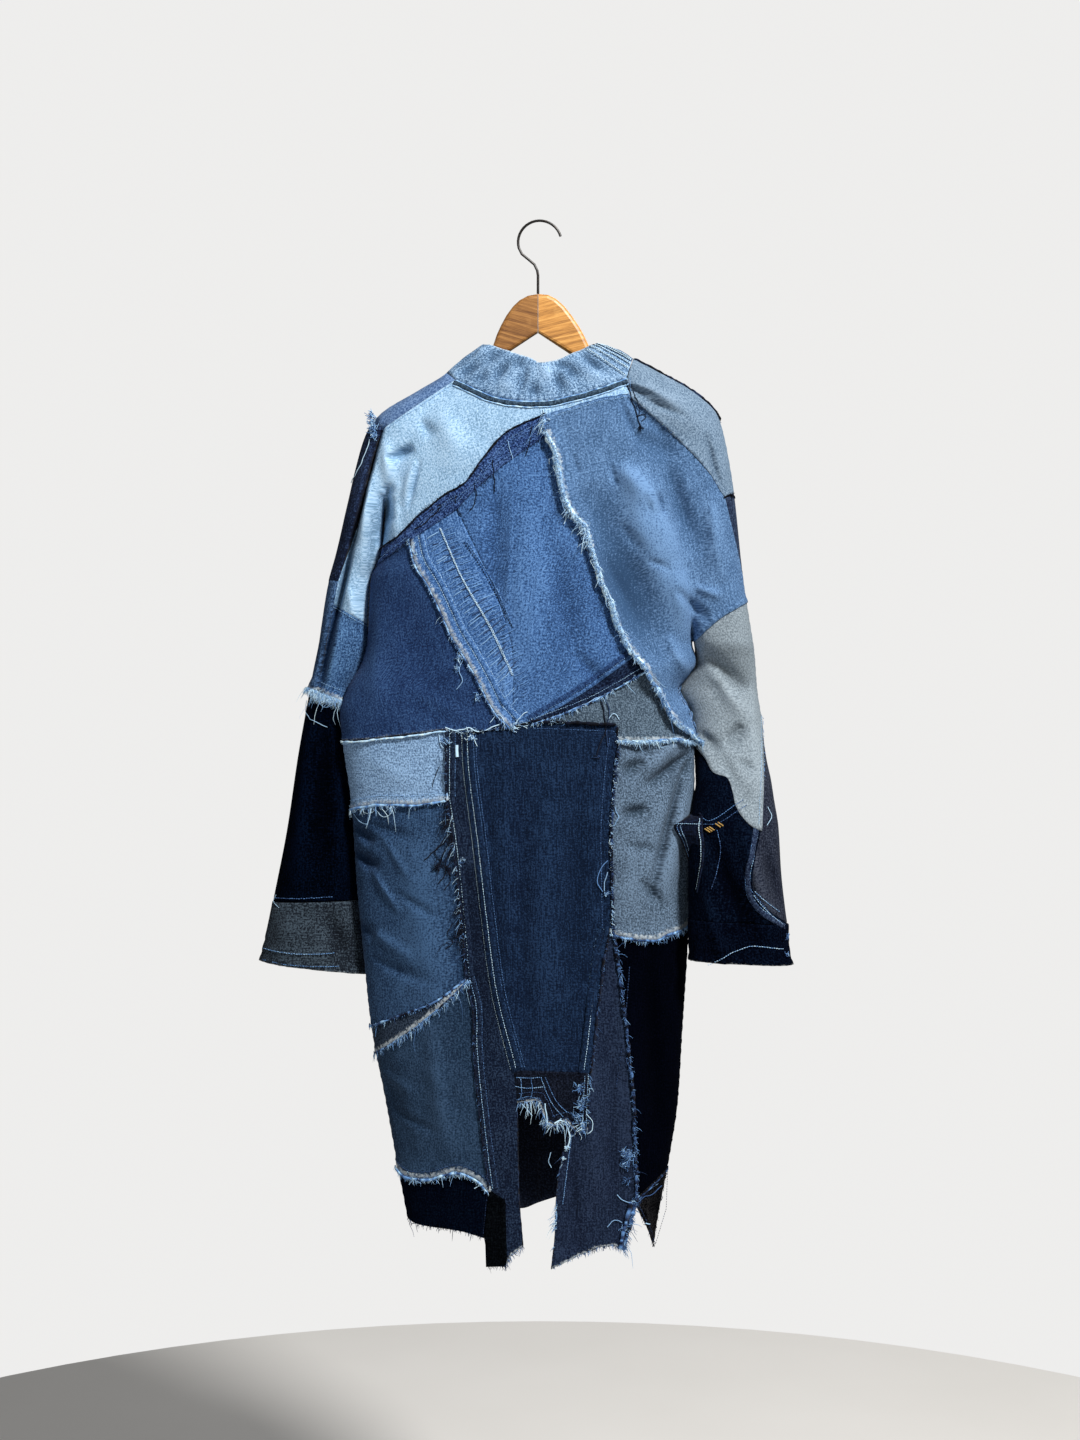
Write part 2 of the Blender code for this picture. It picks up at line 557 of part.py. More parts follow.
def distance_to(polygon, points):
    """Shortest distance from each point to the polygon's sides."""
    best = np.full(len(points), np.inf)
    for a, b in zip(polygon, np.roll(polygon, -1, axis=0)):
        run = b - a
        t = np.clip(((points - a) @ run) / max(run @ run, 1e-9), 0, 1)
        best = np.minimum(best, np.linalg.norm(points - a - t[:, None] * run, axis=1))
    return best


def unrolled(tube, turn, z):
    return turn * (tube.high(z) - tube.low(z)) * 0.55


def ridge_points(tube, wrap, rim, grid):
    """Extra points along the top of the shoulder, where the sheet turns from back to front."""
    heights = np.arange(-172.0, -330.0, -12.0)
    found = [
        (float(unrolled(tube, wrap * turn, z)), z)
        for turn in (0.86, 0.93, 1.0, 1.07, 1.14)
        for z in heights
    ]
    found = np.array(found)
    found = found[inside(rim, found)]
    found = found[distance_to(rim, found) > 5.0]
    spacing = np.linalg.norm(found[:, None] - grid[None], axis=2).min(axis=1, initial=99)
    return found[spacing > 6.0]


def panel_mesh(tube, wrap, names, step):
    """Points, outward directions and triangles of a panel, and how many points its rim has."""
    at, out, x, z, front = chain(names)
    turn = turn_of(tube, x, z, front, wrap)
    rim = np.stack([unrolled(tube, turn, z), z], axis=-1)
    shift = np.roll(rim, -1, axis=0)
    if np.sum(rim[:, 0] * shift[:, 1] - shift[:, 0] * rim[:, 1]) < 0:
        at, out, rim = at[::-1], out[::-1], rim[::-1]
    low, high = rim.min(axis=0), rim.max(axis=0)
    rows = np.arange(low[1] + step / 2, high[1], step * 0.87)
    grid = [
        (a + (step / 2 if i % 2 else 0), b)
        for i, b in enumerate(rows)
        for a in np.arange(low[0], high[0], step)
    ]
    grid = np.array(grid).reshape(-1, 2)
    keep = inside(rim, grid)
    grid = grid[keep]
    grid = grid[distance_to(rim, grid) > 0.5 * step]
    if tube is whole:
        grid = np.concatenate([grid, ridge_points(tube, wrap, rim, grid)])
    flat = np.concatenate([rim, grid])
    vectors = [Vector(p) for p in flat]
    found = delaunay_2d_cdt(vectors, [], [list(range(len(rim)))], 1, 1e-6)
    used, triangles = [originals[0] for originals in found[3]], found[2]
    triangles = [[used[i] for i in triangle] for triangle in triangles]
    z_in = grid[:, 1]
    turn_in = grid[:, 0] / ((tube.high(z_in) - tube.low(z_in)) * 0.55)
    points = np.concatenate([draw_in(at, out), place(tube, turn_in, z_in)])
    outward = np.concatenate([out, normal(tube, turn_in, z_in)])
    return points, outward, triangles, len(rim)


def draw_in(at, out):
    """The rim moved into its panel by half of the seam gap."""
    ahead = np.roll(at, -1, axis=0) - at
    ahead /= np.linalg.norm(ahead, axis=1, keepdims=True)
    behind = np.roll(ahead, 1, axis=0)
    inward = np.cross(out, ahead) + np.cross(out, behind)
    size = np.linalg.norm(inward, axis=1, keepdims=True)
    inward /= np.maximum(size, 1e-6)
    miter = np.maximum(size / 2, 0.4)
    return at + inward * SEAM_GAP / 2 / miter


def add_material(name, colour, roughness=0.9, metallic=0.0):
    material = bpy.data.materials.new(name)
    material.use_nodes = True
    shader = material.node_tree.nodes["Principled BSDF"]
    shader.inputs["Base Color"].default_value = (*colour, 1)
    shader.inputs["Roughness"].default_value = roughness
    shader.inputs["Metallic"].default_value = metallic
    material.diffuse_color = (*colour, 1)
    return material


def add_wall(name, points, outward, triangles, rim, wall, material):
    """A closed wall: the sheet, its copy one wall further in, and the rim between them."""
    count = len(points)
    inner = points - outward * wall
    mesh = bmesh.new()
    verts = [mesh.verts.new(Vector(p) * MM) for p in np.concatenate([points, inner])]
    for a, b, c in triangles:
        mesh.faces.new((verts[a], verts[b], verts[c]))
        mesh.faces.new((verts[count + c], verts[count + b], verts[count + a]))
    for i in range(rim):
        j = (i + 1) % rim
        mesh.faces.new((verts[j], verts[i], verts[count + i], verts[count + j]))
    data = bpy.data.meshes.new(name)
    mesh.to_mesh(data)
    mesh.free()
    piece = bpy.data.objects.new(name, data)
    data.materials.append(material)
    jacket.objects.link(piece)
    return piece


def sleeve_ring(name, tube, top, foot, rows, wall, material):
    """A piece that goes all round a sleeve, between two levels given at outer and inner edge."""
    columns = 20
    turns = np.linspace(-2, 2, columns, endpoint=False)
    side = 1 if tube is left else -1
    across = (np.sin(turns * math.pi / 2) * side + 1) / 2
    levels = [np.array(top) * (1 - k / rows) + np.array(foot) * k / rows for k in range(rows + 1)]
    grid = np.array([place(tube, turns, a + (b - a) * across) for a, b in levels])
    out = np.array([normal(tube, turns, a + (b - a) * across) for a, b in levels])
    add_band(name, grid, out, wall, material)


def add_band(name, grid, out, wall, material, closed=True):
    """A closed wall from rows of points; closed rows run round, others have two ends."""
    rows, columns = grid.shape[:2]
    mesh = bmesh.new()
    skins = [
        [[mesh.verts.new(Vector(p) * MM) for p in row] for row in skin]
        for skin in (grid, grid - out * wall)
    ]
    last = columns if closed else columns - 1
    for r in range(rows - 1):
        for c in range(last):
            d = (c + 1) % columns
            for skin, order in zip(skins, (1, -1)):
                corners = (skin[r][c], skin[r + 1][c], skin[r + 1][d], skin[r][d])
                mesh.faces.new(corners[::order])
    for r, order in ((0, 1), (rows - 1, -1)):
        for c in range(last):
            d = (c + 1) % columns
            corners = (skins[0][r][c], skins[0][r][d], skins[1][r][d], skins[1][r][c])
            mesh.faces.new(corners[::order])
    if not closed:
        for c, order in ((0, -1), (columns - 1, 1)):
            for r in range(rows - 1):
                corners = (skins[0][r][c], skins[0][r + 1][c], skins[1][r + 1][c], skins[1][r][c])
                mesh.faces.new(corners[::order])
    bmesh.ops.recalc_face_normals(mesh, faces=mesh.faces)
    data = bpy.data.meshes.new(name)
    mesh.to_mesh(data)
    mesh.free()
    data.materials.append(material)
    piece = bpy.data.objects.new(name, data)
    jacket.objects.link(piece)
    return piece


# Top edge of the collar by angle round the neck: 0 mid back, -90 left, 90 right, 180 front.
COLLAR_TOP = [
    # angle    x     y     z
    (-180,     1,   24,  -224),
    (-135,   -52,   19,  -186),
    (-90,    -71,    0,  -147),
    (-60,    -60,  -14,  -150),
    (-35,    -36,  -25,  -160),
    (-10,    -11,  -31,  -169),
    (0,       -1,  -32,  -174),
    (12,      13,  -31,  -172),
    (40,      44,  -25,  -159),
    (65,      67,  -14,  -149),
    (90,      82,    0,  -150),
    (135,     56,   17,  -188),
    (180,      3,   24,  -224),
]
COLLAR_LIFT = 0.9     # bottom of the collar over the neck seam
COLLAR_SWELL = 1.4    # how far the band bows out half way up
COLLAR_SPLIT = 58     # angle where the stitched right piece starts
NECK_CENTRE = -3


def collar_stations():
    """Neck seam round from mid front by the left, the back and the right to mid front."""
    runs = ("neck_front_left", "neck_left", "neck_back", "neck_right", "neck_front_right")
    points = []
    for name in runs:
        at = Seam.known[name].at
        flip = points and np.linalg.norm(at[-1] - points[-1]) < np.linalg.norm(at[0] - points[-1])
        if name == "neck_front_left":
            flip = True
        points.extend(list(at[::-1] if flip else at)[1 if points else 0:])
    return np.array(points)


def make_collar(material, end_material):
    foot = collar_stations()
    angle = np.degrees(np.arctan2((foot[:, 0] - NECK_CENTRE) / 108, -foot[:, 1] / 36))
    angle[0], angle[-1] = -180, 180
    rows = [(a, x, y, z) for a, x, y, z in COLLAR_TOP]
    top = np.stack([through(rows, k)(angle) for k in (1, 2, 3)], axis=-1)
    lift = top - foot
    foot = foot + lift / np.linalg.norm(lift, axis=1, keepdims=True) * COLLAR_LIFT
    foot[0, 0] -= 1.5
    foot[-1, 0] += 1.5
    top[0, 0] -= 1.5
    top[-1, 0] += 1.5
    along = np.gradient(foot, axis=0) + np.gradient(top, axis=0)
    up = top - foot
    out = np.cross(along, up)
    out /= np.linalg.norm(out, axis=1, keepdims=True)
    grid = np.array([
        foot * (1 - v) + top * v + out * COLLAR_SWELL * math.sin(math.pi * v) for v in (0, 0.5, 1)
    ])
    outs = np.array([out] * 3)
    split = int(np.argmax(angle > COLLAR_SPLIT))
    gap = along[split] / np.linalg.norm(along[split]) * SEAM_GAP / 2
    first, second = grid[:, : split + 1].copy(), grid[:, split:].copy()
    first[:, -1] -= gap
    second[:, 0] += gap
    add_band("collar_band", first, outs[:, : split + 1], COLLAR_WALL, material, closed=False)
    add_band("collar_right", second, outs[:, split:], COLLAR_WALL, end_material, closed=False)


# The hanger: each arm follows the shoulder above it, from a crown that both share.
CROWN = (-3.6, -86.4)
CROWN_TOP = {                         # outwards and down from the crown, by side
    -1: [(12, -2), (22, -7.5), (30, -15), (38, -26), (44.5, -38), (49.5, -49), (53.5, -61)],
    1: [(12, -1), (22, -6), (32, -15), (42, -28), (50, -40), (56, -51), (61.5, -63)],
}
CROWN_FOOT = [(0, -47), (32, -68), (62, -88)]
ARM_DEPTH = 24.0
UNDER_COLLAR = 10.0
ARM_EDGE = 5.0
JOINT_EDGE = 0.4


def make_arm(name, side, material):
    """Half of the hanger as a flat outline with rounded edges, nearly square at the crown joint."""
    edge = left.low if side < 0 else right.high
    start, end = (-202, -226) if side < 0 else (-190, -202)
    line = [np.array((float(edge(z)), z)) for z in np.linspace(start, end, 5)]
    slope = line[-1] - line[0]
    slope /= np.linalg.norm(slope)
    down = np.array((slope[1], -slope[0])) * side
    crown = np.array(CROWN)
    neck = np.array(RIDGE_LEFT if side < 0 else RIDGE_RIGHT)
    upper = [crown + (side * 0.15, 0)] + [crown + (side * x, z) for x, z in CROWN_TOP[side]]
    upper += [neck + down * UNDER_COLLAR]
    rest = REST_LEFT if side < 0 else REST_RIGHT
    upper += [p + down * (WALL + rest) for p in line]
    lower = [line[-1] + down * ARM_DEPTH + slope * 8, line[2] + down * (ARM_DEPTH + 4)]
    lower += [crown + (side * x, z) for x, z in reversed(CROWN_FOOT[1:])]
    lower += [crown + (side * 0.15, CROWN_FOOT[0][1])]
    points = upper + [line[-1] + down * 9 + slope * 14] + lower
    curve = bpy.data.curves.new(name, "CURVE")
    curve.dimensions = "2D"
    curve.fill_mode = "BOTH"
    spline = curve.splines.new("POLY")
    spline.points.add(len(points) - 1)
    for spot, (x, z) in zip(spline.points, points):
        spot.co = (x * MM, z * MM, 0, 1)
    spline.use_cyclic_u = True
    curve.bevel_depth = ARM_EDGE * MM
    curve.bevel_resolution = 2
    curve.offset = -ARM_EDGE * MM
    curve.extrude = (HANGER_THICK / 2 - ARM_EDGE) * MM
    curve.materials.append(material)
    outline = bpy.data.objects.new(name + "_outline", curve)
    mesh = bpy.data.meshes.new_from_object(outline)
    bpy.data.objects.remove(outline)
    joint = points[0][0]
    for vertex in mesh.vertices:
        off = vertex.co.x / MM - joint
        if abs(off) < ARM_EDGE + 0.3:
            vertex.co.x = (joint + off * JOINT_EDGE / ARM_EDGE) * MM
    arm = bpy.data.objects.new(name, mesh)
    arm.rotation_euler = (math.pi / 2, 0, 0)
    jacket.objects.link(arm)


def make_hook(material):
    """One wire: a bow over the rod, a sweep back and a stem into the crown."""
    centre = np.array((-1.5, HOOK_RADIUS - HOOK_BOW))
    turns = np.radians(np.linspace(16, 195, 20))
    path = [centre + HOOK_BOW * np.array((math.cos(a), math.sin(a))) for a in turns]
    path += [np.array(p) for p in ((-23, -38.5), (-15, -45), (-8, -51), (-4.6, -58))]
    path += [np.array((CROWN[0], z)) for z in (-64, -75, CROWN[1] + HOOK_SEAT)]
    curve = bpy.data.curves.new("hook", "CURVE")
    curve.dimensions = "3D"
    spline = curve.splines.new("POLY")
    spline.points.add(len(path) - 1)
    for spot, (x, z) in zip(spline.points, path):
        spot.co = (x * MM, 0, z * MM, 1)
    curve.bevel_depth = HOOK_RADIUS * MM
    curve.bevel_resolution = 2
    curve.use_fill_caps = True
    curve.materials.append(material)
    jacket.objects.link(bpy.data.objects.new("hook", curve))


# Cloth colours, linear.
COLOURS = {
    "yoke_left": (0.30, 0.45, 0.60),
    "waistband_strip": (0.02, 0.05, 0.14),
    "centre_upper": (0.045, 0.12, 0.33),
    "ladder_strip": (0.10, 0.22, 0.48),
    "indigo_left": (0.013, 0.035, 0.14),
    "centre_seam_strip": (0.03, 0.08, 0.2),
    "upper_right": (0.08, 0.18, 0.38),
    "shoulder_right": (0.20, 0.30, 0.42),
    "waist_chambray": (0.15, 0.24, 0.35),
    "waist_patch": (0.16, 0.27, 0.42),
    "skirt_left": (0.03, 0.09, 0.22),
    "wedge_strip": (0.03, 0.06, 0.12),
    "skirt_left_low": (0.035, 0.1, 0.24),
    "hem_left": (0.004, 0.006, 0.018),
    "hem_tab": (0.003, 0.003, 0.008),
    "side_strip": (0.02, 0.055, 0.16),
    "centre_lower": (0.013, 0.035, 0.12),
    "pocket_band": (0.03, 0.06, 0.14),
    "chambray_right": (0.16, 0.25, 0.36),
    "lower_right": (0.022, 0.055, 0.15),
    "black_right": (0.003, 0.003, 0.012),
    "black_tip": (0.005, 0.005, 0.012),
    "sleeve_left_mid": (0.05, 0.12, 0.27),
    "grey_sleeve": (0.26, 0.31, 0.37),
    "sleeve_right_dark": (0.008, 0.018, 0.06),
    "sleeve_left_front": (0.012, 0.025, 0.09),
    "sleeve_left_front_mid": (0.04, 0.1, 0.24),
    "sleeve_right_front": (0.01, 0.015, 0.05),
    "sleeve_right_front_low": (0.012, 0.02, 0.06),
    "front_left": (0.04, 0.1, 0.26),
    "front_right": (0.2, 0.32, 0.47),
}
DARK_SLEEVE, CUFF_BLUE, CUFF_DARK = (0.008, 0.016, 0.05), (0.13, 0.2, 0.3), (0.01, 0.02, 0.07)
COLLAR_BLUE, WOOD, STEEL = (0.13, 0.24, 0.42), (0.42, 0.19, 0.07), (0.09, 0.09, 0.1)
# Pieces that go all round a sleeve: tube, top and foot at the outer and inner edge, colour.
RINGS = {
    "sleeve_left_low": (left, (-556.6, -574.6), (-817, -814), 6, DARK_SLEEVE),
    "cuff_left": (left, (-817.3, -814.3), (-888, -904), 2, CUFF_BLUE),
    "cuff_right": (right, (-838.3, -832.3), (-886, -880), 2, CUFF_DARK),
}


def make_jacket():
    lay_seams()
    for name, (tube, wrap, names) in PANELS.items():
        step = FRONT_STEP if name.startswith("front") else BACK_STEP
        points, outward, triangles, rim = panel_mesh(tube, wrap, names, step)
        cloth = add_material(name, COLOURS[name])
        add_wall(name, points, outward, triangles, rim, WALL, cloth)
    for name, (tube, top, foot, rows, colour) in RINGS.items():
        sleeve_ring(name, tube, top, foot, rows, WALL, add_material(name, colour))
    make_collar(add_material("collar_band", COLLAR_BLUE), add_material("collar_right", COLLAR_BLUE))
    wood = add_material("hanger_wood", WOOD, 0.45)
    make_arm("hanger_arm_left", -1, wood)
    make_arm("hanger_arm_right", 1, wood)
    make_hook(add_material("hook_steel", STEEL, 0.35, 1.0))


for old in list(bpy.data.objects):
    bpy.data.objects.remove(old)
jacket = bpy.data.collections.new("patched_jacket")
bpy.context.scene.collection.children.link(jacket)
make_jacket()
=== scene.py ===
"""Looks of the patched denim jacket, coat length, on its wooden hanger (metres, +Z up).

The form and the seams are those of the CAD model, worked out more finely. Each cloth panel
is a thin shell inside its ring of seams, with its own denim; frays, stitches, loose threads
and narrow bands follow the seams by name. Lengths in the tables are in mm.
"""
import json
import math

import bmesh
import bpy
import numpy as np
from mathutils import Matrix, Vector
from mathutils.geometry import delaunay_2d_cdt

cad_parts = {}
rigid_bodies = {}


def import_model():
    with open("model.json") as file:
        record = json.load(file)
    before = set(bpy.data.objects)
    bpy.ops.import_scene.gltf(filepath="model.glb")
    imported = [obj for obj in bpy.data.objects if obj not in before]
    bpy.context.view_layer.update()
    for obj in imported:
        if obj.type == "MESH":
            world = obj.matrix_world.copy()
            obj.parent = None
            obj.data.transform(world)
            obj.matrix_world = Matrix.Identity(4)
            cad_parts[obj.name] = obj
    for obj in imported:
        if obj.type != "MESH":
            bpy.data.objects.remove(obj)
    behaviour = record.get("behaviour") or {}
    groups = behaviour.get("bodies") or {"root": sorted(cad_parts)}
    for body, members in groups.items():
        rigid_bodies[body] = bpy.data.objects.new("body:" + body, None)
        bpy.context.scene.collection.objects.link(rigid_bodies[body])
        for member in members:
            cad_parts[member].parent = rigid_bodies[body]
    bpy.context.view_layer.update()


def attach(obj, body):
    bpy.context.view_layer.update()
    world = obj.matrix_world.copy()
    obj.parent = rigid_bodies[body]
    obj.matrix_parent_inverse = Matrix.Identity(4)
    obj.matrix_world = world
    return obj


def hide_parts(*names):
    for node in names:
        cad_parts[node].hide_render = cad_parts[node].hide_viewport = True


MM = 0.001
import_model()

CLOTH = 1.1           # thickness of one layer of denim, mm
BACK_STEP = 2.7       # spacing of the cloth's points on the back and the sleeves, mm
FRONT_STEP = 7.0      # and on the plain fronts, mm
HIDDEN_STEP = 4.4     # and on the fronts of the sleeves, mm
SEAM_STEP = 4.0       # longest run between points of a seam, mm
ROUNDNESS = 2.3       # power of the sections: 2 is an ellipse
BLEND = 26.0          # how softly body and sleeve flow together, mm
PATH_STEP = 1.0       # spacing of the points that trimmings follow, mm


def read_rows(text):
    """The rows of a table written as text: names, numbers, and numbers joined by commas.

    # starts a comment.
    """
    def value(word):
        if "," in word:
            return [float(part) for part in word.split(",")]
        return word if word[0].isalpha() else float(word)

    rows = [[value(word) for word in line.split("#")[0].split()] for line in text.splitlines()]
    return [row for row in rows if row]


def smooth(t):
    """A soft step from 0 to 1."""
    return t * t * (3 - 2 * t)


def curve(start, lead, end, trail, t):
    """A cubic from start to end that leaves along lead and arrives along trail."""
    return (
        start * (1 + 2 * t) * (1 - t) ** 2 + lead * t * (1 - t) ** 2
        + end * t * t * (3 - 2 * t) + trail * t * t * (t - 1)
    )


# Sections of the body: height, left and right edge, depth of the back and of the front.
BODY = read_rows("""
#   z left right back front
 -160  -90  92 34 26
 -182 -108 136 37 29
 -205 -144 175 41 32
 -232 -184 203 45 34
 -256 -198 210 48 36
 -300 -197 210 52 38
 -340 -187 206 55 39
 -398 -191 198 58 40
 -430 -204 193 59 40
 -503 -208 180 60 40
 -527 -214 186 60 40
 -562 -233 166 60 39
 -590 -241 180 60 38
 -622 -238 184 60 38
 -702 -227 184 60 37
 -792 -221 180 59 36
 -886 -212 175 57 35
 -961 -204 170 54 33
-1055 -186 164 50 31
-1132 -172 152 47 29
-1195 -160 140 45 27
-1262 -150 130 43 26
""")

# Sections of a sleeve: height, outer and inner edge, depth of its back and of its
# front, and how far the sleeve stands in front of or behind the body.
LEFT_SLEEVE = read_rows("""
#  z outer inner back front middle
-160  -96  -60 12 10  0
-182 -114  -80 16 12  0
-205 -150 -105 24 18  0
-232 -193 -130 30 24  0
-256 -210 -145 33 27  0
-296 -222 -166 34 28  0
-340 -232 -187 34 28  0
-398 -247 -192 33 28 12
-430 -256 -205 32 28 15
-483 -265 -208 31 28 17
-503 -268 -206 31 28 18
-536 -275 -215 31 28 21
-568 -281 -232 30 28 23
-590 -285 -236 30 28 23
-641 -294 -231 30 28 23
-728 -307 -220 31 28 23
-810 -323 -214 31 28 23
-860 -333 -210 31 28 23
-888 -338 -207 31 28 23
-910 -340 -205 31 28 23
""")
RIGHT_SLEEVE = read_rows("""
#  z outer inner back front middle
-160 101  62 12 10   0
-182 143  82 18 14   0
-205 183 105 26 20   0
-232 211 122 32 25   0
-256 219 130 35 28   0
-324 231 146 36 29   0
-426 242 168 36 30   0
-503 254 183 34 30   0
-527 258 186 34 30  12
-545 260 176 34 30  20
-562 262 164 34 30  25
-590 266 176 34 30  24
-622 269 182 34 30  18
-644 271 185 33 29   7
-670 275 185 33 28  -8
-690 277 182 33 27 -18
-725 281 177 33 27 -32
-770 283 174 33 26 -37
-844 291 174 32 26 -36
-888 295 178 32 26 -34
-930 298 196 32 26 -32
""")

# Folds on the back: troughs (height below 0) and ridges, each along a line.
FOLDS = read_rows("""
#  x     z    x     z width height
# right shoulder and sleeve
 100  -300  178  -500  24    8
  60  -330  140  -520  26   -7
  94  -300  134  -340  13    6
 134  -340  160  -415  12    4
 160  -415  176  -500  11    5
 150  -300  186  -400  12   -5
 112  -262  160  -284  16   -4
  82  -296   88  -322   3 -2.5
 137  -330  146  -356   3   -4
 126  -326  138  -352   6    3
  37  -284   46  -312   3   -2
 126  -410  152  -420   4   -2
 160  -444  198  -478   6   -5
  92  -366  122  -402   7   -2
  72  -405  118  -495  11   -4
 150  -500  180  -548   8    5
 200  -330  216  -430  10    4
 182  -440  214  -452   5    3
  96  -201  140  -215   4   -4
 102  -206  172  -240   4   -3
  98  -212  148  -262 4.5   -3
  92  -216  118  -274   4 -2.5
 110  -200  168  -222   5  2.5
 112  -196  190  -246  12    3
 196  -262  214  -330   5   -4
# left shoulder and sleeve
-181  -322 -191  -386 4.5  -12
-190  -326 -172  -334   3    4
-170  -318 -176  -380   6    4
-182  -289 -152  -276   5   -7
-190  -330 -178  -362   5   -7
-184  -268 -178  -330   8    4
-143  -292 -157  -346 2.6 -3.4
-150  -292 -164  -342   5    3
-142  -242 -128  -264   7   -3
-120  -230  -92  -300  18    3
-205  -300 -212  -420   8    4
-196  -350 -204  -430   5   -4
-228  -440 -222  -480   6    3
# middle of the back
 -52  -315  -53  -460  13   -4
 -32  -320  -38  -850 2.6  1.2
 -10  -330  -20  -560  20    3
  20  -400   40  -540  16   -3
  40  -520   80  -560   8   -3
-170  -430 -120  -600  24   -2
-200  -440 -190  -600  14  2.5
-150  -560  -80  -600   9    1
# left skirt
-150  -720 -120  -960  30    5
 -90  -760  -80 -1000  26   -5
-226  -722 -198  -742   6   -6
-228  -750 -194  -772   7   -8
-222  -838 -196  -852   7   -6
-202  -772 -166  -824   4    3
-206  -720 -150  -736   6 -2.5
-190  -730 -150  -790   5    2
-170  -800 -120  -830   5   -2
-210  -840 -150  -880   7    3
-200  -880 -130  -905   7   -3
-186 -1000 -160 -1120  14   -4
-130  -960 -110 -1110  12    4
-200 -1010 -150 -1040   6    2
-180 -1060 -120 -1085   5   -2
-215  -640 -150  -672   9  0.8
-124  -640 -116  -690   7 -1.5
# middle of the skirt
 -62  -640  -46  -900   7   -2
  10  -660    4  -980  16  2.5
  50  -640   40  -900  12 -2.5
 -20  -700  -16  -990  10   -2
# right skirt
 178  -612  122  -660   9    6
 180  -634  124  -676 4.5   -7
 178  -640  170  -664   5   -5
 148  -670  126  -790  12    2
 171  -650  129  -806   4   -6
 183  -664  142  -814   9    6
 120  -646   96  -662   7   -6
 124  -702   94  -712   7   -6
 118  -786  146  -822   7   -4
  98  -744  140  -752   6 -2.5
  96  -626  130  -636   5 -2.5
 110  -730  100  -830   9  2.5
 175  -720  164  -820   6   -3
 100  -900  120 -1120  26    4
 130  -870  142 -1100  10   -4
  60  -900   64 -1160   9    3
  84 -1000   88 -1200   6   -2
  36 -1110   44 -1230   7 -2.5
# pleat down the left sleeve
-186  -246 -222  -385   3  -11
-208  -330 -244  -470 3.2  -10
-228  -405 -268  -574 4.2  -11
# black corner
 126 -1164  130 -1212   4    4
 142 -1150  136 -1206 3.5   -4
 120 -1172  140 -1180   3   -3
# left sleeve, lower part
-300  -580 -318  -800  11   -5
-256  -590 -262  -800  10   -5
-278  -600 -292  -806   9    4
-240  -640 -236  -806   7    3
-258  -820 -232  -896  12   -5
-300  -824 -306  -892  16    3
-262  -470 -276  -548   7   -4
-236  -480 -252  -556   6    3
# right sleeve, lower part
 240  -604  224  -630   9   -6
 196  -516  244  -562   9   -5
 206  -540  250  -600   9    4
 256  -540  262  -690   8    3
 190  -612  214  -634   7   -5
 236  -644  252  -660   6   -4
 214  -640  246  -700   8   -3
 196  -730  252  -866  11   -6
 232  -720  276  -846   9    5
 188  -790  214  -880   7    4
 260  -740  284  -820   6   -4
""")

# Folds on the fronts and the undersides of the sleeves.
FRONT_FOLDS = read_rows("""
#  x    z    x     z width height
-150 -280  -60  -480 22  5
 140 -280   70  -500 24  5
-110 -300  -30  -420 16 -4
 110 -310   50  -430 18 -4
-170 -420  -90  -560 20 -5
 150 -440   90  -600 20  4
-150 -640 -120 -1100 26  6
 -80 -600  -60 -1120 22 -5
  60 -560   50 -1100 24  5
 120 -640  110 -1080 24 -6
-190 -700 -150 -1000 12 -4
 160 -680  140 -1000 12  4
-240 -380 -262  -520  9 -4
-220 -420 -236  -540  7  3
-290 -600 -312  -800 12  4
-258 -620 -256  -800 10 -4
 214 -420  240  -560 10 -4
 230 -560  236  -700 12  4
 206 -700  236  -860 11 -4
""")

FOLD_STRENGTH = 1.5   # what every height in the tables of folds is multiplied by
BOW = 0.06            # how much each fold bends to one side, of its length


def noise(u, v, size, seed):
    """Smooth noise from -1 to 1 whose features have the given size."""
    table = np.random.default_rng(seed).uniform(-1, 1, (61, 61))
    a, b = u / size + 500, v / size + 500
    i, j = np.floor(a).astype(int), np.floor(b).astype(int)
    s, t = a - i, b - j
    s, t = smooth(s), smooth(t)
    low = table[i % 61, j % 61] * (1 - s) + table[(i + 1) % 61, j % 61] * s
    high = table[i % 61, (j + 1) % 61] * (1 - s) + table[(i + 1) % 61, (j + 1) % 61] * s
    return low * (1 - t) + high * t


def along_lines(folds, x, z):
    """Sum of the folds in a table at x, z, each fading towards its ends."""
    total = np.zeros(np.broadcast(x, z).shape)
    for x0, z0, x1, z1, half_width, height in folds:
        run = np.array((x1 - x0, z1 - z0), float)
        length = np.hypot(*run)
        along = ((x - x0) * run[0] + (z - z0) * run[1]) / length**2
        off = ((x - x0) * run[1] - (z - z0) * run[0]) / length
        off = off + BOW * length * ((along - 0.5) ** 2 - 0.25)
        fade = np.clip(np.sin(math.pi * np.clip(along * 0.9 + 0.05, 0, 1)), 0, 1) ** 0.8
        width = half_width * (0.75 + 0.5 * np.clip(along, 0, 1))
        total += height * fade * np.exp(-((off / width) ** 2))
    return total


def folds_at(x, z, front):
    """How far the cloth stands out from its plain form: folds, and a little unevenness."""
    folds = np.where(front, along_lines(FRONT_FOLDS, x, z), along_lines(FOLDS, x, z))
    drift = noise(x, z, 55, 3) * 1.1 + noise(x + z * 0.4, z, 21, 5) * 0.5
    return FOLD_STRENGTH * folds + drift


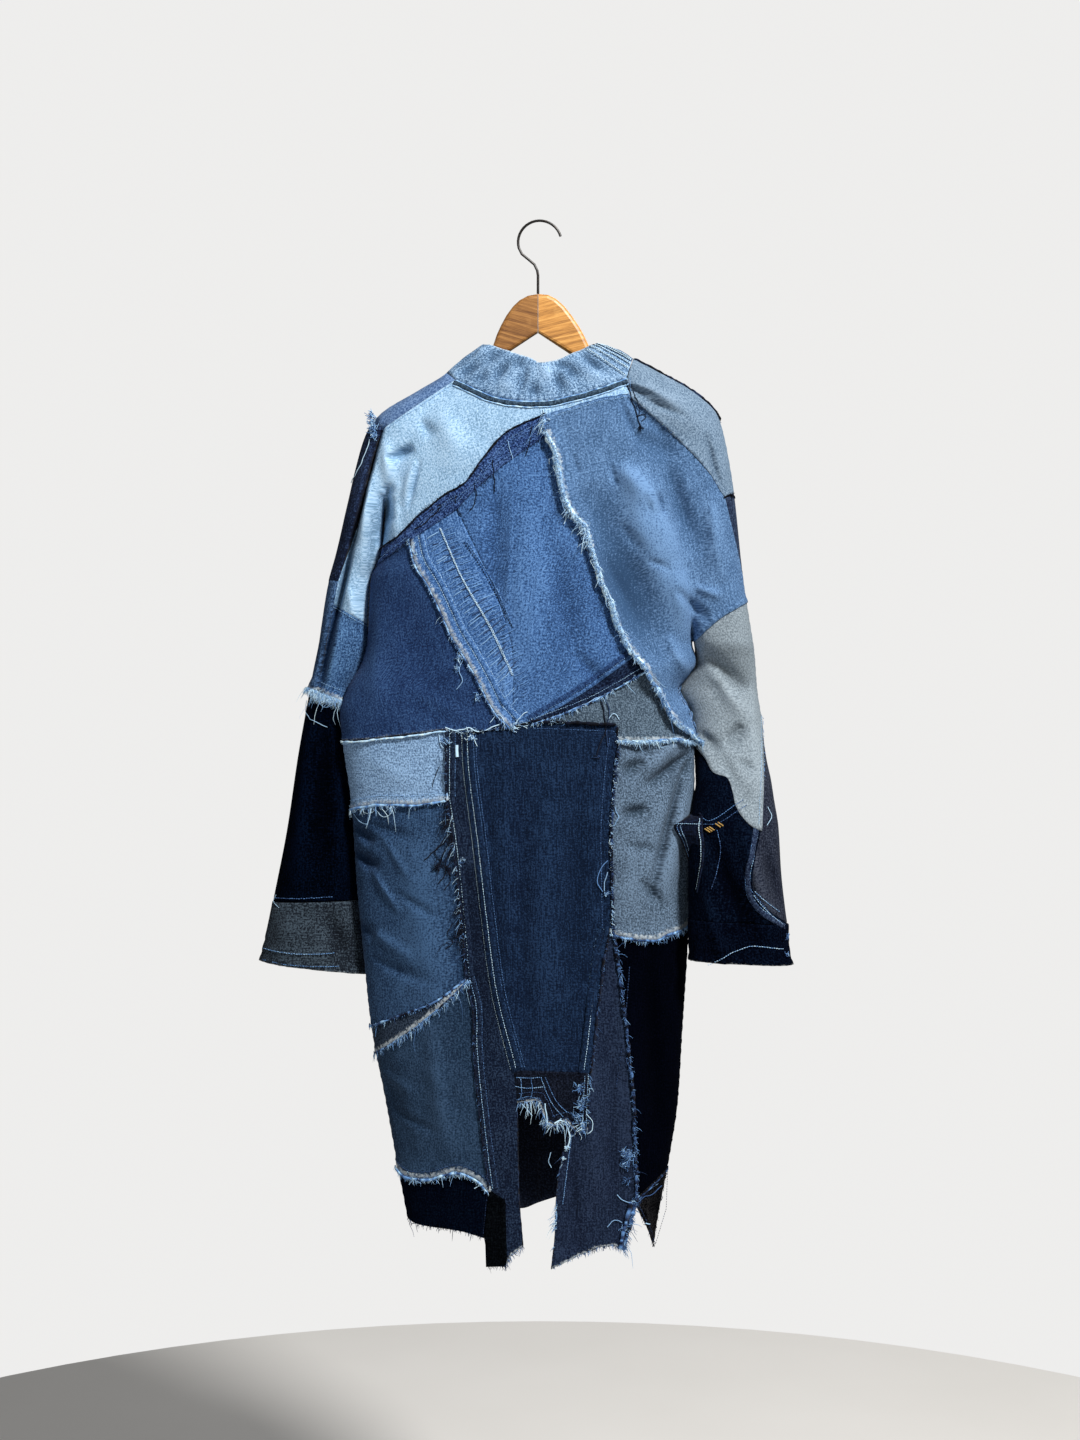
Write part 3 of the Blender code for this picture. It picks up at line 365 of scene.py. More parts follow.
def through(stations, column):
    """A column of a table as a monotone smooth function of height."""
    table = np.array(sorted(stations), float)
    z, value = table[:, 0], table[:, column]
    slope = np.diff(value) / np.diff(z)
    tangent = np.concatenate([slope[:1], np.zeros(len(z) - 2), slope[-1:]])
    same = slope[1:] * slope[:-1] > 0
    total = np.where(same, slope[1:] + slope[:-1], 1)
    tangent[1:-1] = np.where(same, 2 * slope[1:] * slope[:-1] / total, 0)

    def at(height):
        height = np.clip(height, z[0], z[-1])
        i = np.clip(np.searchsorted(z, height) - 1, 0, len(z) - 2)
        run = z[i + 1] - z[i]
        part = (height - z[i]) / run
        return curve(value[i], tangent[i] * run, value[i + 1], tangent[i + 1] * run, part)

    return at


class Tube:
    """The body or a sleeve: edges and depths as functions of height."""

    def __init__(self, sections, low, high):
        self.low, self.high = through(sections, low), through(sections, high)
        self.back, self.front = through(sections, 3), through(sections, 4)
        self.middle = through(sections, 5)

    def sheet(self, x, z, front):
        """Where the cloth of the back or the front lies, in y."""
        bulge = self.bulge(x, z, front)
        return self.middle(z) + np.where(front, bulge, -bulge)

    def bulge(self, x, z, front):
        """Distance of the cloth from the tube's middle plane at x, z."""
        half = (self.high(z) - self.low(z)) / 2
        across = np.clip(np.abs(x - self.low(z) - half) / half, 0, 1)
        depth = np.where(front, self.front(z), self.back(z))
        return depth * (1 - across**ROUNDNESS) ** (1 / ROUNDNESS)


body = Tube([[*section, 0] for section in BODY], 1, 2)
left = Tube(LEFT_SLEEVE, 1, 2)
right = Tube(RIGHT_SLEEVE, 2, 1)


class Whole:
    """Body and sleeves in one sheet, for panels that run from one to the other."""

    low = staticmethod(left.low)
    high = staticmethod(right.high)

    @staticmethod
    def sheet(x, z, front):
        """As a tube's, and below an armpit the sleeve keeps its own middle."""
        in_left = x < (body.low(z) + left.high(z)) / 2
        in_right = x > (body.high(z) + right.low(z)) / 2
        middle = np.where(in_left, left.middle(z), np.where(in_right, right.middle(z), 0))
        bulge = Whole.bulge(x, z, front)
        return middle + np.where(front, bulge, -bulge)

    @staticmethod
    def bulge(x, z, front):
        total = body.bulge(x, z, front)
        for sleeve in (left, right):
            other = sleeve.bulge(x, z, front)
            both = np.minimum(total, other)
            soft = BLEND * both / (both + 8.0) + 0.01
            lift = np.clip(soft - np.abs(total - other), 0, None) ** 2 / (4 * soft)
            total = np.maximum(total, other) + lift
        return total


whole = Whole()


def on_front(turn):
    """Whether a place round a tube is on its front."""
    return np.abs(np.mod(turn + 2, 4) - 2) > 1


def place(tube, turn, z):
    """A point of the form. turn is 0 at mid back, -1 and 1 at the edges, 2 at mid front."""
    low, high = tube.low(z), tube.high(z)
    x = (low + high) / 2 + (high - low) / 2 * np.sin(turn * math.pi / 2)
    front = on_front(turn)
    swell = np.clip(tube.bulge(x, z, front) / 30, 0, 1) * folds_at(x, z, front)
    y = tube.sheet(x, z, front) + np.where(front, swell, -swell)
    return np.stack(np.broadcast_arrays(x, y, z), axis=-1)


def normal(tube, turn, z):
    """Outward direction of the form, from two short steps on it."""
    step = 0.015
    round_it = place(tube, turn + step, z) - place(tube, turn - step, z)
    down = place(tube, turn, z - 1.5) - place(tube, turn, z + 1.5)
    out = np.cross(down, round_it)
    return out / np.linalg.norm(out, axis=-1, keepdims=True)


def turn_of(tube, x, z, front, wrap):
    """Where x, z lies round the tube; wrap says by which edge a front point is reached."""
    low, high = tube.low(z), tube.high(z)
    across = np.clip((2 * x - low - high) / (high - low), -1, 1)
    turn = np.arcsin(across) * 2 / math.pi
    return np.where(front, 2 * wrap - turn, turn)


def weave_of(tube, points, front, angle):
    """Where the points lie on the flat cloth, in metres along its weft and its warp."""
    x, y, z = points.T
    half = (tube.high(z) - tube.low(z)) / 2
    off = x - tube.low(z) - half
    deep = np.abs(y - tube.sheet(x * 0 + tube.low(z) + half, z, front))
    across = (np.abs(off) + deep) * np.sign(off)
    c, s = math.cos(math.radians(angle)), math.sin(math.radians(angle))
    return np.stack([across * c + z * s, z * c - across * s, 0 * z], axis=-1) * MM


class Seam:
    """A run of points on the form, with the outward direction at each, shared by neighbours."""

    known = {}
    corner_directions = {}

    def __init__(self, name, tube, corners, front, edge, sharp):
        self.front, self.on_edge = front, bool(edge)
        stations = np.array(self.spaced(tube, corners, edge, sharp), float)
        turn, self.at = self.on_form(tube, stations, edge)
        while (far := np.linalg.norm(np.diff(self.at, axis=0), axis=1) > 2 * SEAM_STEP).any():
            middle = (stations[1:] + stations[:-1])[far] / 2
            stations = np.insert(stations, np.flatnonzero(far) + 1, middle, axis=0)
            turn, self.at = self.on_form(tube, stations, edge)
        self.x, self.z = stations.T
        self.out = self.edge_direction(tube, edge) if edge else normal(tube, turn, self.z)
        for end in (0, -1):
            key = tuple(np.round(self.at[end]))
            self.out[end] = Seam.corner_directions.setdefault(key, self.out[end])
        Seam.known[name] = self

    def on_form(self, tube, stations, edge):
        x, z = stations.T
        turn = turn_of(tube, x, z, self.front, 1 if x.mean() > 0 else -1)
        if edge:
            turn = np.full(len(x), -1.0 if edge == "low" else 1.0)
        return turn, place(tube, turn, z)

    @staticmethod
    def spaced(tube, corners, edge, sharp):
        """The corners with points between them on a smooth curve, SEAM_STEP apart at most."""
        if edge:
            top, bottom = corners
            count = max(1, math.ceil(abs(top - bottom) / SEAM_STEP))
            heights = np.linspace(top, bottom, count + 1)
            return [(float(getattr(tube, edge)(z)), z) for z in heights]
        knots = np.array([corners[0], *corners, corners[-1]], float)
        stations = [knots[0]]
        for before, start, end, after in zip(knots, knots[1:], knots[2:], knots[3:]):
            count = max(1, math.ceil(math.dist(start, end) / SEAM_STEP))
            t = (np.arange(1, count + 1) / count)[:, None]
            if sharp:
                stations.extend(start + (end - start) * t)
                continue
            run = math.dist(start, end)
            lead = (end - before) * run / max(math.dist(end, before), 1)
            trail = (after - start) * run / max(math.dist(after, start), 1)
            stations.extend(curve(start, lead, end, trail, t))
        return stations

    def edge_direction(self, tube, edge):
        """Away from the tube, square to its edge and level with its middle plane."""
        edge_at = getattr(tube, edge)
        lean = (edge_at(self.z + 2) - edge_at(self.z - 2)) / 4
        side = -1.0 if edge == "low" else 1.0
        out = np.stack([np.full(len(lean), side), 0 * lean, -side * lean], axis=-1)
        return out / np.linalg.norm(out, axis=-1, keepdims=True)


TUBES = {"body": body, "left": left, "right": right, "whole": whole}


def point(where):
    """x and z of a point in a table: the two numbers, a height on a tube's edge, or a landmark."""
    if isinstance(where, list):
        return where
    if "@" not in where:
        return LANDMARKS[where]
    edge, height = where.split("@")
    tube, side = edge.split(".")
    return float(getattr(TUBES[tube], side)(float(height))), float(height)


# Landmarks where three or more panels meet, as x,z on the back.
LANDMARKS = {name: point(where) for name, where in read_rows("""
NECK_LEFT -102,-194
NECK_RIGHT 102,-193
NECK_CORNER 104,-213
RIDGE_LEFT left.low@-182
RIDGE_RIGHT right.high@-165
SHOULDER_LEFT -187,-253
TIP_LEFT left.low@-240
TIP_RIGHT right.high@-240
ARMPIT_L left.high@-340
ARMPIT_R right.low@-503
BAND_TOP 7,-240
BAND_LOW 9,-259
BAND_END_TOP body.low@-397
BAND_END_LOW body.low@-411
LADDER_A -153,-382
LADDER_B -100,-348
LADDER_FOOT -34,-606
STRIP_A 109,-521
STRIP_B 124,-536
STRIP_TIP -13,-601
WAIST_LEFT body.low@-623
WAIST_RIGHT body.high@-620
WAIST_1 -110,-610
WAIST_2 -90,-613
WAIST_3 89,-605
WAIST_4 89,-620
PATCH_LEFT body.low@-701
PATCH_FOOT -110,-689
WEDGE_TOP body.low@-962
WEDGE_LOW body.low@-993
WEDGE_TIP -87,-901
HEM_START body.low@-1128
HEM_FOOT body.low@-1193
HEM_TAB -66,-1209
TAB_TOP_L -60,-1151
TAB_TOP_R -44,-1163
TAB_FOOT_L -65,-1243
TAB_FOOT_R -42,-1242
BAND_LEFT -32,-1010
BAND_RIGHT 58,-1013
BAND_FOOT_L -28,-1048
BAND_FOOT_R 55,-1079
APEX 81,-845
CHAMBRAY_RIGHT body.high@-830
BLACK_RIGHT body.high@-1133
BLACK_FOOT 110,-1168
SLEEVE_SEAM_TOP -242,-432
SLEEVE_SEAM_MID -248,-460
SLEEVE_SEAM_LOW -268,-560.2
NAVY_TOP right.high@-326
NAVY_IN 218,-333
GREY_A right.high@-456
GREY_B right.high@-593
GREY_TIP 257,-726
CUFF_R_OUT right.high@-838
CUFF_R_IN right.low@-832
NECK_FRONT 4,-262
HEM_FRONT -3,-1183
""")}

# Seams and edges: name, tube, kind and course. A back or front seam is smooth through its
# points, a sharp one runs straight between them on the back, and a low or high one follows
# that edge of its tube from one height to another.
SEAMS = read_rows("""
# Neck and shoulders
neck_back whole back NECK_LEFT -53,-217 -1,-222 42,-214 77,-203 NECK_RIGHT
neck_corner whole back NECK_RIGHT NECK_CORNER
neck_left whole back RIDGE_LEFT NECK_LEFT
neck_right whole back NECK_RIGHT RIDGE_RIGHT
neck_front_left whole front RIDGE_LEFT -84,-222 -44,-249 NECK_FRONT
neck_front_right whole front NECK_FRONT 50,-248 88,-215 RIDGE_RIGHT
shoulder_left whole back NECK_LEFT SHOULDER_LEFT
shoulder_left_end whole back SHOULDER_LEFT TIP_LEFT
shoulder_right whole high -165 -240
sleeve_right_over whole high -240 -326
armhole_left whole front TIP_LEFT -178,-285 ARMPIT_L
# Upper back
yoke_over whole back NECK_CORNER 58,-223 BAND_TOP
band_top body back BAND_TOP -22,-253 -42,-265 -67,-294 -87,-321 -111,-335 -143,-360 -166,-382 \
    BAND_END_TOP
band_end body low -397 -411
band_right body back BAND_TOP BAND_LOW
band_low_centre body back BAND_LOW -26,-282 -55,-304 -87,-333 LADDER_B
band_low_ladder body back LADDER_B LADDER_A
band_low_left body back LADDER_A BAND_END_LOW
ladder_left body back LADDER_A -146,-412 -129,-441 -115,-470 -103,-497 -87,-523 -70,-553 -54,-584 \
    LADDER_FOOT
ladder_right body back LADDER_B -54,-448 -34,-516 LADDER_FOOT
fray_upper body back BAND_LOW 20,-284 26,-321 35,-349 52,-371 61,-404 70,-436 83,-465 90,-486 STRIP_A
fray_strip body back STRIP_A STRIP_B
fray_lower body back STRIP_B 135,-554 148,-583 162,-601 WAIST_RIGHT
strip_top body back STRIP_A 52,-562 STRIP_TIP
strip_low body back STRIP_B 60,-573 STRIP_TIP
side_upper_left body low -411 -623
armpit_left_body body low -340 -397
armpit_left_sleeve left high -340 -430
sleeve_left_inner_yoke left high -430 -483
shoulder_curve whole back NECK_CORNER 126,-232 172,-275 199,-304 NAVY_IN
navy_top whole back NAVY_IN NAVY_TOP
navy_side whole back NAVY_IN 222,-349 right.high@-427
sleeve_right_short whole high -427 -456
grey_top right back GREY_A 210,-478 ARMPIT_R
side_upper_right body high -503 -620
grey_inner right low -503 -623
armhole_right whole front TIP_RIGHT 188,-320 176,-420 ARMPIT_R
armpit_step whole back ARMPIT_R body.high@-503
# Waist and skirt
waist_left body back WAIST_LEFT -202,-621 -166,-617 WAIST_1
waist_strip body back WAIST_1 WAIST_2
waist_indigo body back WAIST_2 LADDER_FOOT
waist_centre body back LADDER_FOOT STRIP_TIP
waist_chambray body back STRIP_TIP WAIST_3
waist_step body back WAIST_3 WAIST_4
waist_right body back WAIST_4 WAIST_RIGHT
patch_side body low -623 -701
patch_foot body back PATCH_LEFT -190,-694 -148,-694 PATCH_FOOT
patch_right body back WAIST_1 PATCH_FOOT
strip_left_a body back PATCH_FOOT -102,-743 -93,-830 WEDGE_TIP
strip_left_b body back WEDGE_TIP -79,-935 -78,-982 -71,-1059 TAB_TOP_L
side_left body low -701 -962
wedge_top body back WEDGE_TOP -167,-946 -130,-930 WEDGE_TIP
wedge_low body back WEDGE_LOW -176,-977 -145,-954 -110,-923 WEDGE_TIP
wedge_side body low -962 -993
side_left_low body low -993 -1128
hem_top body back HEM_START -158,-1137 -130,-1136 -98,-1127 -75,-1136 TAB_TOP_L
hem_side body low -1128 -1180
hem_side_free body low -1180 -1193
hem_left body back HEM_FOOT -149,-1197 -98,-1201 HEM_TAB
tab_left body back TAB_TOP_L HEM_TAB
tab_left_free body back HEM_TAB TAB_FOOT_L
tab_top body back TAB_TOP_L TAB_TOP_R
tab_foot body back TAB_FOOT_L TAB_FOOT_R
tab_right body back TAB_TOP_R TAB_FOOT_R
twill_foot body sharp TAB_FOOT_R -34,-1228 -21,-1218
twill_free body sharp -21,-1218 -26,-1160 BAND_FOOT_L
strip_right body back WAIST_2 -88,-656 -78,-737 -67,-831 -55,-919 BAND_LEFT
band_left body back BAND_LEFT BAND_FOOT_L
pocket_band_top body back BAND_LEFT BAND_RIGHT
pocket_band_right body back BAND_RIGHT BAND_FOOT_R
pocket_band_low body sharp BAND_FOOT_R 42,-1083 29,-1069 16,-1075 6,-1071 -4,-1045 BAND_FOOT_L
centre_right body back WAIST_4 84,-656 79,-729 80,-790 APEX
centre_right_low body back APEX 74,-879 BAND_RIGHT
chambray_side body high -620 -830
chambray_foot body back APEX 96,-849 132,-854 150,-847 168,-842 CHAMBRAY_RIGHT
black_left body back APEX 90,-903 104,-1033 BLACK_FOOT
black_side body high -830 -1133
black_foot body back BLACK_FOOT BLACK_RIGHT
tip_edge body sharp BLACK_FOOT 128,-1205 136,-1230 150,-1184 BLACK_RIGHT
lower_right_free body back BLACK_FOOT 97,-1225
lower_foot body sharp 97,-1225 86,-1219 67,-1221 42,-1231 12,-1245
lower_left_free body sharp 12,-1245 16,-1212 18,-1162 20,-1135 25,-1109 34,-1081 BAND_FOOT_R
# Sleeves
sleeve_left_seam whole back SHOULDER_LEFT -195,-274 -216,-355 SLEEVE_SEAM_TOP
sleeve_left_seam_mid left back SLEEVE_SEAM_TOP SLEEVE_SEAM_MID
sleeve_left_seam_low left back SLEEVE_SEAM_MID SLEEVE_SEAM_LOW
yoke_sleeve_foot left back SLEEVE_SEAM_MID left.high@-483
sleeve_left_cross_back left back SLEEVE_SEAM_TOP left.low@-430
sleeve_left_cross_front left front left.low@-430 left.high@-430
mid_sleeve_inner left high -483 -574
mid_sleeve_foot left back SLEEVE_SEAM_LOW left.high@-574
mid_sleeve_foot_back left back SLEEVE_SEAM_LOW left.low@-556
mid_sleeve_foot_front left front left.low@-556 left.high@-574
grey_low right back right.low@-623 197,-642 205,-658 221,-665 227,-681 231,-700 243,-717 GREY_TIP
grey_right right back GREY_TIP 265,-632 GREY_B
grey_side_top right high -456 -503
grey_side right high -503 -593
dark_inner right low -623 -832
dark_outer right back GREY_TIP 248,-799 CUFF_R_OUT
cuff_right_back right back CUFF_R_IN CUFF_R_OUT
cuff_right_front right front CUFF_R_IN CUFF_R_OUT
sleeve_right_cross right front right.high@-503 ARMPIT_R
# Fronts
centre_front body front NECK_FRONT HEM_FRONT
hem_front_left body front HEM_FRONT -24,-1190 body.low@-1180
hem_front_right body front HEM_FRONT 18,-1176 BLACK_RIGHT
""")


def lay_seams():
    """Every seam and edge of the garment, by name."""
    x, z = LANDMARKS["ARMPIT_L"]
    Seam.corner_directions[tuple(np.round((x, 0.0, z)))] = np.array((0.0, 0.0, -1.0))
    for name, tube, kind, *course in SEAMS:
        edge = kind if kind in ("low", "high") else None
        corners = course if edge else [point(where) for where in course]
        Seam(name, TUBES[tube], corners, kind == "front", edge, kind == "sharp")


# Panels: name, tube, side by which a front point is reached (-1 left, 1 right), and the seams
# round it, end to end.
PANELS = {name: (TUBES[tube], wrap, seams) for name, tube, wrap, *seams in read_rows("""
yoke_left whole -1 neck_back neck_corner yoke_over band_top armpit_left_body armpit_left_sleeve \
    sleeve_left_inner_yoke yoke_sleeve_foot sleeve_left_seam_mid sleeve_left_seam shoulder_left
waistband_strip body -1 band_top band_end band_low_left band_low_ladder band_low_centre band_right
centre_upper body 1 band_low_centre fray_upper strip_top waist_centre ladder_right
ladder_strip body -1 band_low_ladder ladder_left ladder_right
indigo_left body -1 band_low_left side_upper_left waist_left waist_strip waist_indigo ladder_left
centre_seam_strip body 1 strip_top fray_strip strip_low
upper_right whole 1 yoke_over shoulder_curve navy_side sleeve_right_short grey_top armpit_step \
    side_upper_right fray_lower fray_strip fray_upper band_right
shoulder_right whole 1 neck_corner neck_right shoulder_right sleeve_right_over navy_top shoulder_curve
waist_chambray body 1 strip_low fray_lower waist_right waist_step waist_chambray
waist_patch body -1 waist_left patch_right patch_foot patch_side
skirt_left body -1 patch_foot strip_left_a wedge_top side_left
wedge_strip body -1 wedge_top wedge_low wedge_side
skirt_left_low body -1 wedge_low strip_left_b hem_top side_left_low
hem_left body -1 hem_top tab_left hem_left hem_side_free hem_side
hem_tab body -1 tab_top tab_right tab_foot tab_left_free tab_left
side_strip body -1 waist_strip patch_right strip_left_a strip_left_b tab_top tab_right twill_foot \
    twill_free band_left strip_right
centre_lower body 1 waist_indigo waist_centre waist_chambray waist_step centre_right centre_right_low \
    pocket_band_top strip_right
pocket_band body 1 pocket_band_top pocket_band_right pocket_band_low band_left
chambray_right body 1 waist_right chambray_side chambray_foot centre_right
lower_right body 1 centre_right_low pocket_band_right lower_left_free lower_foot lower_right_free \
    black_left
black_right body 1 chambray_foot black_side black_foot black_left
black_tip body 1 black_foot tip_edge
sleeve_left_mid left -1 yoke_sleeve_foot mid_sleeve_inner mid_sleeve_foot sleeve_left_seam_low
grey_sleeve right 1 grey_top grey_inner grey_low grey_right grey_side grey_side_top
sleeve_right_dark right 1 grey_low dark_outer cuff_right_back dark_inner
sleeve_left_front whole -1 shoulder_left_end sleeve_left_seam sleeve_left_cross_back \
    sleeve_left_cross_front armpit_left_sleeve armhole_left
sleeve_left_front_mid left -1 sleeve_left_cross_back sleeve_left_seam_mid sleeve_left_seam_low \
    mid_sleeve_foot_back mid_sleeve_foot_front mid_sleeve_inner sleeve_left_inner_yoke \
    sleeve_left_cross_front
sleeve_right_front whole 1 sleeve_right_over navy_top navy_side sleeve_right_short grey_side_top \
    sleeve_right_cross armhole_right
sleeve_right_front_low right 1 sleeve_right_cross grey_side grey_right dark_outer cuff_right_front \
    dark_inner grey_inner
front_left whole -1 neck_left shoulder_left shoulder_left_end armhole_left armpit_left_body band_end \
    side_upper_left patch_side side_left wedge_side side_left_low hem_side hem_front_left \
    centre_front neck_front_left
front_right whole 1 neck_front_right shoulder_right armhole_right armpit_step side_upper_right \
    chambray_side black_side hem_front_right centre_front
""")}

PUCKER = 0.45         # height of the puckers along a sewn seam, mm

# Where a panel's edge lies on its neighbour: how far past the seam it reaches, how high it
# stands, and over what width it comes back to the form. Below 0 it is tucked in.
EDGES = {(panel, seam): lie for panel, seam, *lie in read_rows("""
# panel               seam                  reach lift width
upper_right           fray_upper              4   5 18
upper_right           fray_strip              4 6.5 22
upper_right           fray_lower              5   7 24
upper_right           yoke_over             1.5 1.4  9
upper_right           band_right              4   3 10
upper_right           grey_top                1 1.8  8
upper_right           side_upper_right        0   1 20
yoke_left             band_top                0 0.6  9
waistband_strip       band_top              3.5   2  9
waistband_strip       band_low_left         2.5 1.6  9
waistband_strip       band_low_ladder       2.5 1.6  9
waistband_strip       band_low_centre       2.5 1.6  9
ladder_strip          ladder_left           3.5   2 12
indigo_left           waist_left              1 1.4  9
centre_upper          strip_top               2   1  8
centre_seam_strip     strip_low               3 1.8  8
waist_chambray        waist_right             3   2 10
waist_patch           patch_foot              4 2.2 12
waist_patch           waist_left            0.5 0.6  6
side_strip            strip_left_a          1.5 1.6  7
side_strip            strip_left_b          1.5 1.6  7
side_strip            patch_right           1.5 1.6  7
centre_lower          strip_right           2.5 1.6  9
centre_lower          centre_right            3 2.2 10
centre_lower          waist_chambray          2 1.4  8
pocket_band           pocket_band_low         0 1.2 10
pocket_band           pocket_band_top         1 0.8  6
wedge_strip           wedge_low               3 1.8  8
skirt_left            wedge_top               1 0.8  6
skirt_left_low        hem_top                 4 2.2 12
chambray_right        chambray_foot           4 2.4 12
chambray_right        centre_right            0 0.2  6
lower_right           black_left              3   2  9
black_tip             black_foot              2 1.2  6
hem_tab               tab_right               2 1.2  6
hem_tab               tab_left              1.5 1.2  6
shoulder_right        shoulder_curve          1 1.2  7
front_right           shoulder_right          0 0.6  5
grey_sleeve           grey_low                2 1.5  8
grey_sleeve           grey_right            1.5 1.2  6
sleeve_left_mid       mid_sleeve_foot         4 2.4 12
sleeve_left_front_mid mid_sleeve_foot_back    4 2.4 12
sleeve_left_front_mid mid_sleeve_foot_front   4 2.4 12
""")}

# Edges of each panel that are left raw.
RAW = {panel: seams for panel, *seams in read_rows("""
upper_right fray_upper fray_strip fray_lower
ladder_strip ladder_left
waist_chambray waist_right
waist_patch patch_foot
indigo_left waist_left
side_strip twill_foot
pocket_band pocket_band_low
skirt_left_low hem_top
chambray_right chambray_foot
lower_right lower_foot
sleeve_left_mid mid_sleeve_foot
sleeve_left_front_mid mid_sleeve_foot_back
wedge_strip wedge_low
""")}

# Seams pressed so flat that they don't show.
UNSEEN = ("ladder_right",)

# Turn of the warp from upright, in degrees, where it isn't 0.
GRAIN = {
    "ladder_strip": 26, "upper_right": 12, "waistband_strip": -52, "centre_seam_strip": -62,
    "indigo_left": 8, "wedge_strip": -64, "side_strip": 5, "shoulder_right": -38,
    "grey_sleeve": 6, "waist_patch": 90, "cuff_left": 90, "yoke_left": 20, "black_tip": 24,
}


def rgb(red, green, blue):
    """A colour as seen on a screen, 0 to 255, in the linear values that shaders take."""
    return tuple(
        v / 12.92 if v <= 0.04045 else ((v + 0.055) / 1.055) ** 2.4
        for v in (red / 255, green / 255, blue / 255)
    )


class Nodes:
    """Short calls for building a material's node tree."""

    def __init__(self, name, roughness, **uniform):
        self.material = bpy.data.materials.new(name)
        self.material.use_nodes = True
        self.tree = self.material.node_tree
        self.shader = self.tree.nodes["Principled BSDF"]
        self.shader.inputs["Roughness"].default_value = roughness
        for key, value in uniform.items():
            self.shader.inputs[key.replace("_", " ")].default_value = value

    def add(self, kind, **settings):
        node = self.tree.nodes.new(kind)
        for key, value in settings.items():
            setattr(node, key, value)
        return node

    def feed(self, socket, value):
        if isinstance(value, bpy.types.NodeSocket):
            self.tree.links.new(value, socket)
        elif isinstance(value, tuple) and len(value) == 3 and socket.type == "RGBA":
            socket.default_value = (*value, 1)
        else:
            socket.default_value = value

    def attribute(self, name, vector=False):
        node = self.add("ShaderNodeAttribute", attribute_name=name)
        return node.outputs["Vector" if vector else "Fac"]

    def math(self, operation, a, b=0.0):
        node = self.add("ShaderNodeMath", operation=operation)
        self.feed(node.inputs[0], a)
        self.feed(node.inputs[1], b)
        return node.outputs[0]

    def scaled(self, vector, by):
        node = self.add("ShaderNodeVectorMath", operation="MULTIPLY")
        self.feed(node.inputs[0], vector)
        self.feed(node.inputs[1], by)
        return node.outputs[0]

    def noise(self, vector, scale=1.0, detail=2.0, rough=0.5, distortion=0.0):
        node = self.add("ShaderNodeTexNoise")
        self.feed(node.inputs["Vector"], vector)
        for key, value in (("Scale", scale), ("Detail", detail), ("Roughness", rough),
                           ("Distortion", distortion)):
            self.feed(node.inputs[key], value)
        return node.outputs["Fac"]

    def varied(self, value, texture, amount):
        """value, raised or lowered as a texture stands above or below its middle."""
        off = self.math("SUBTRACT", texture, 0.5)
        return self.math("ADD", value, self.math("MULTIPLY", off, amount))

    def remap(self, value, low, high, to_low=0.0, to_high=1.0):
        node = self.add("ShaderNodeMapRange", interpolation_type="SMOOTHSTEP")
        for slot, number in enumerate((value, low, high, to_low, to_high)):
            self.feed(node.inputs[slot], number)
        return node.outputs[0]

    def mix(self, factor, first, second):
        node = self.add("ShaderNodeMix", data_type="RGBA")
        self.feed(node.inputs[0], factor)
        self.feed(node.inputs[6], first)
        self.feed(node.inputs[7], second)
        return node.outputs[2]

    def ramp(self, value, *stops):
        node = self.add("ShaderNodeValToRGB")
        marks = node.color_ramp.elements
        while len(marks) < len(stops):
            marks.new(0.5)
        for mark, (where, colour) in zip(marks, stops):
            mark.position = where
            mark.color = (*colour, 1)
        self.feed(node.inputs[0], value)
        return node.outputs[0]

    def finish(self, colour, height=None, depth=0.3, strength=1.0):
        self.feed(self.shader.inputs["Base Color"], colour)
        if height is not None:
            bump = self.add("ShaderNodeBump")
            self.feed(bump.inputs["Strength"], strength)
            self.feed(bump.inputs["Distance"], depth * MM)
            self.feed(bump.inputs["Height"], height)
            self.tree.links.new(bump.outputs[0], self.shader.inputs["Normal"])
        return self.material


FRAY_PALE = rgb(196, 206, 212)
PUCKER_PITCH = 0.0085                # of the rubbed puckers along a seam, m
TWILL_PITCH = 0.00115                # from one twill line to the next, m
FOLD_FADE_AND_SHADE = 36.0                          # how much paler a ridge and darker a hollow is painted per metre that it stands out or sinks: partly fading, partly painted light and shade
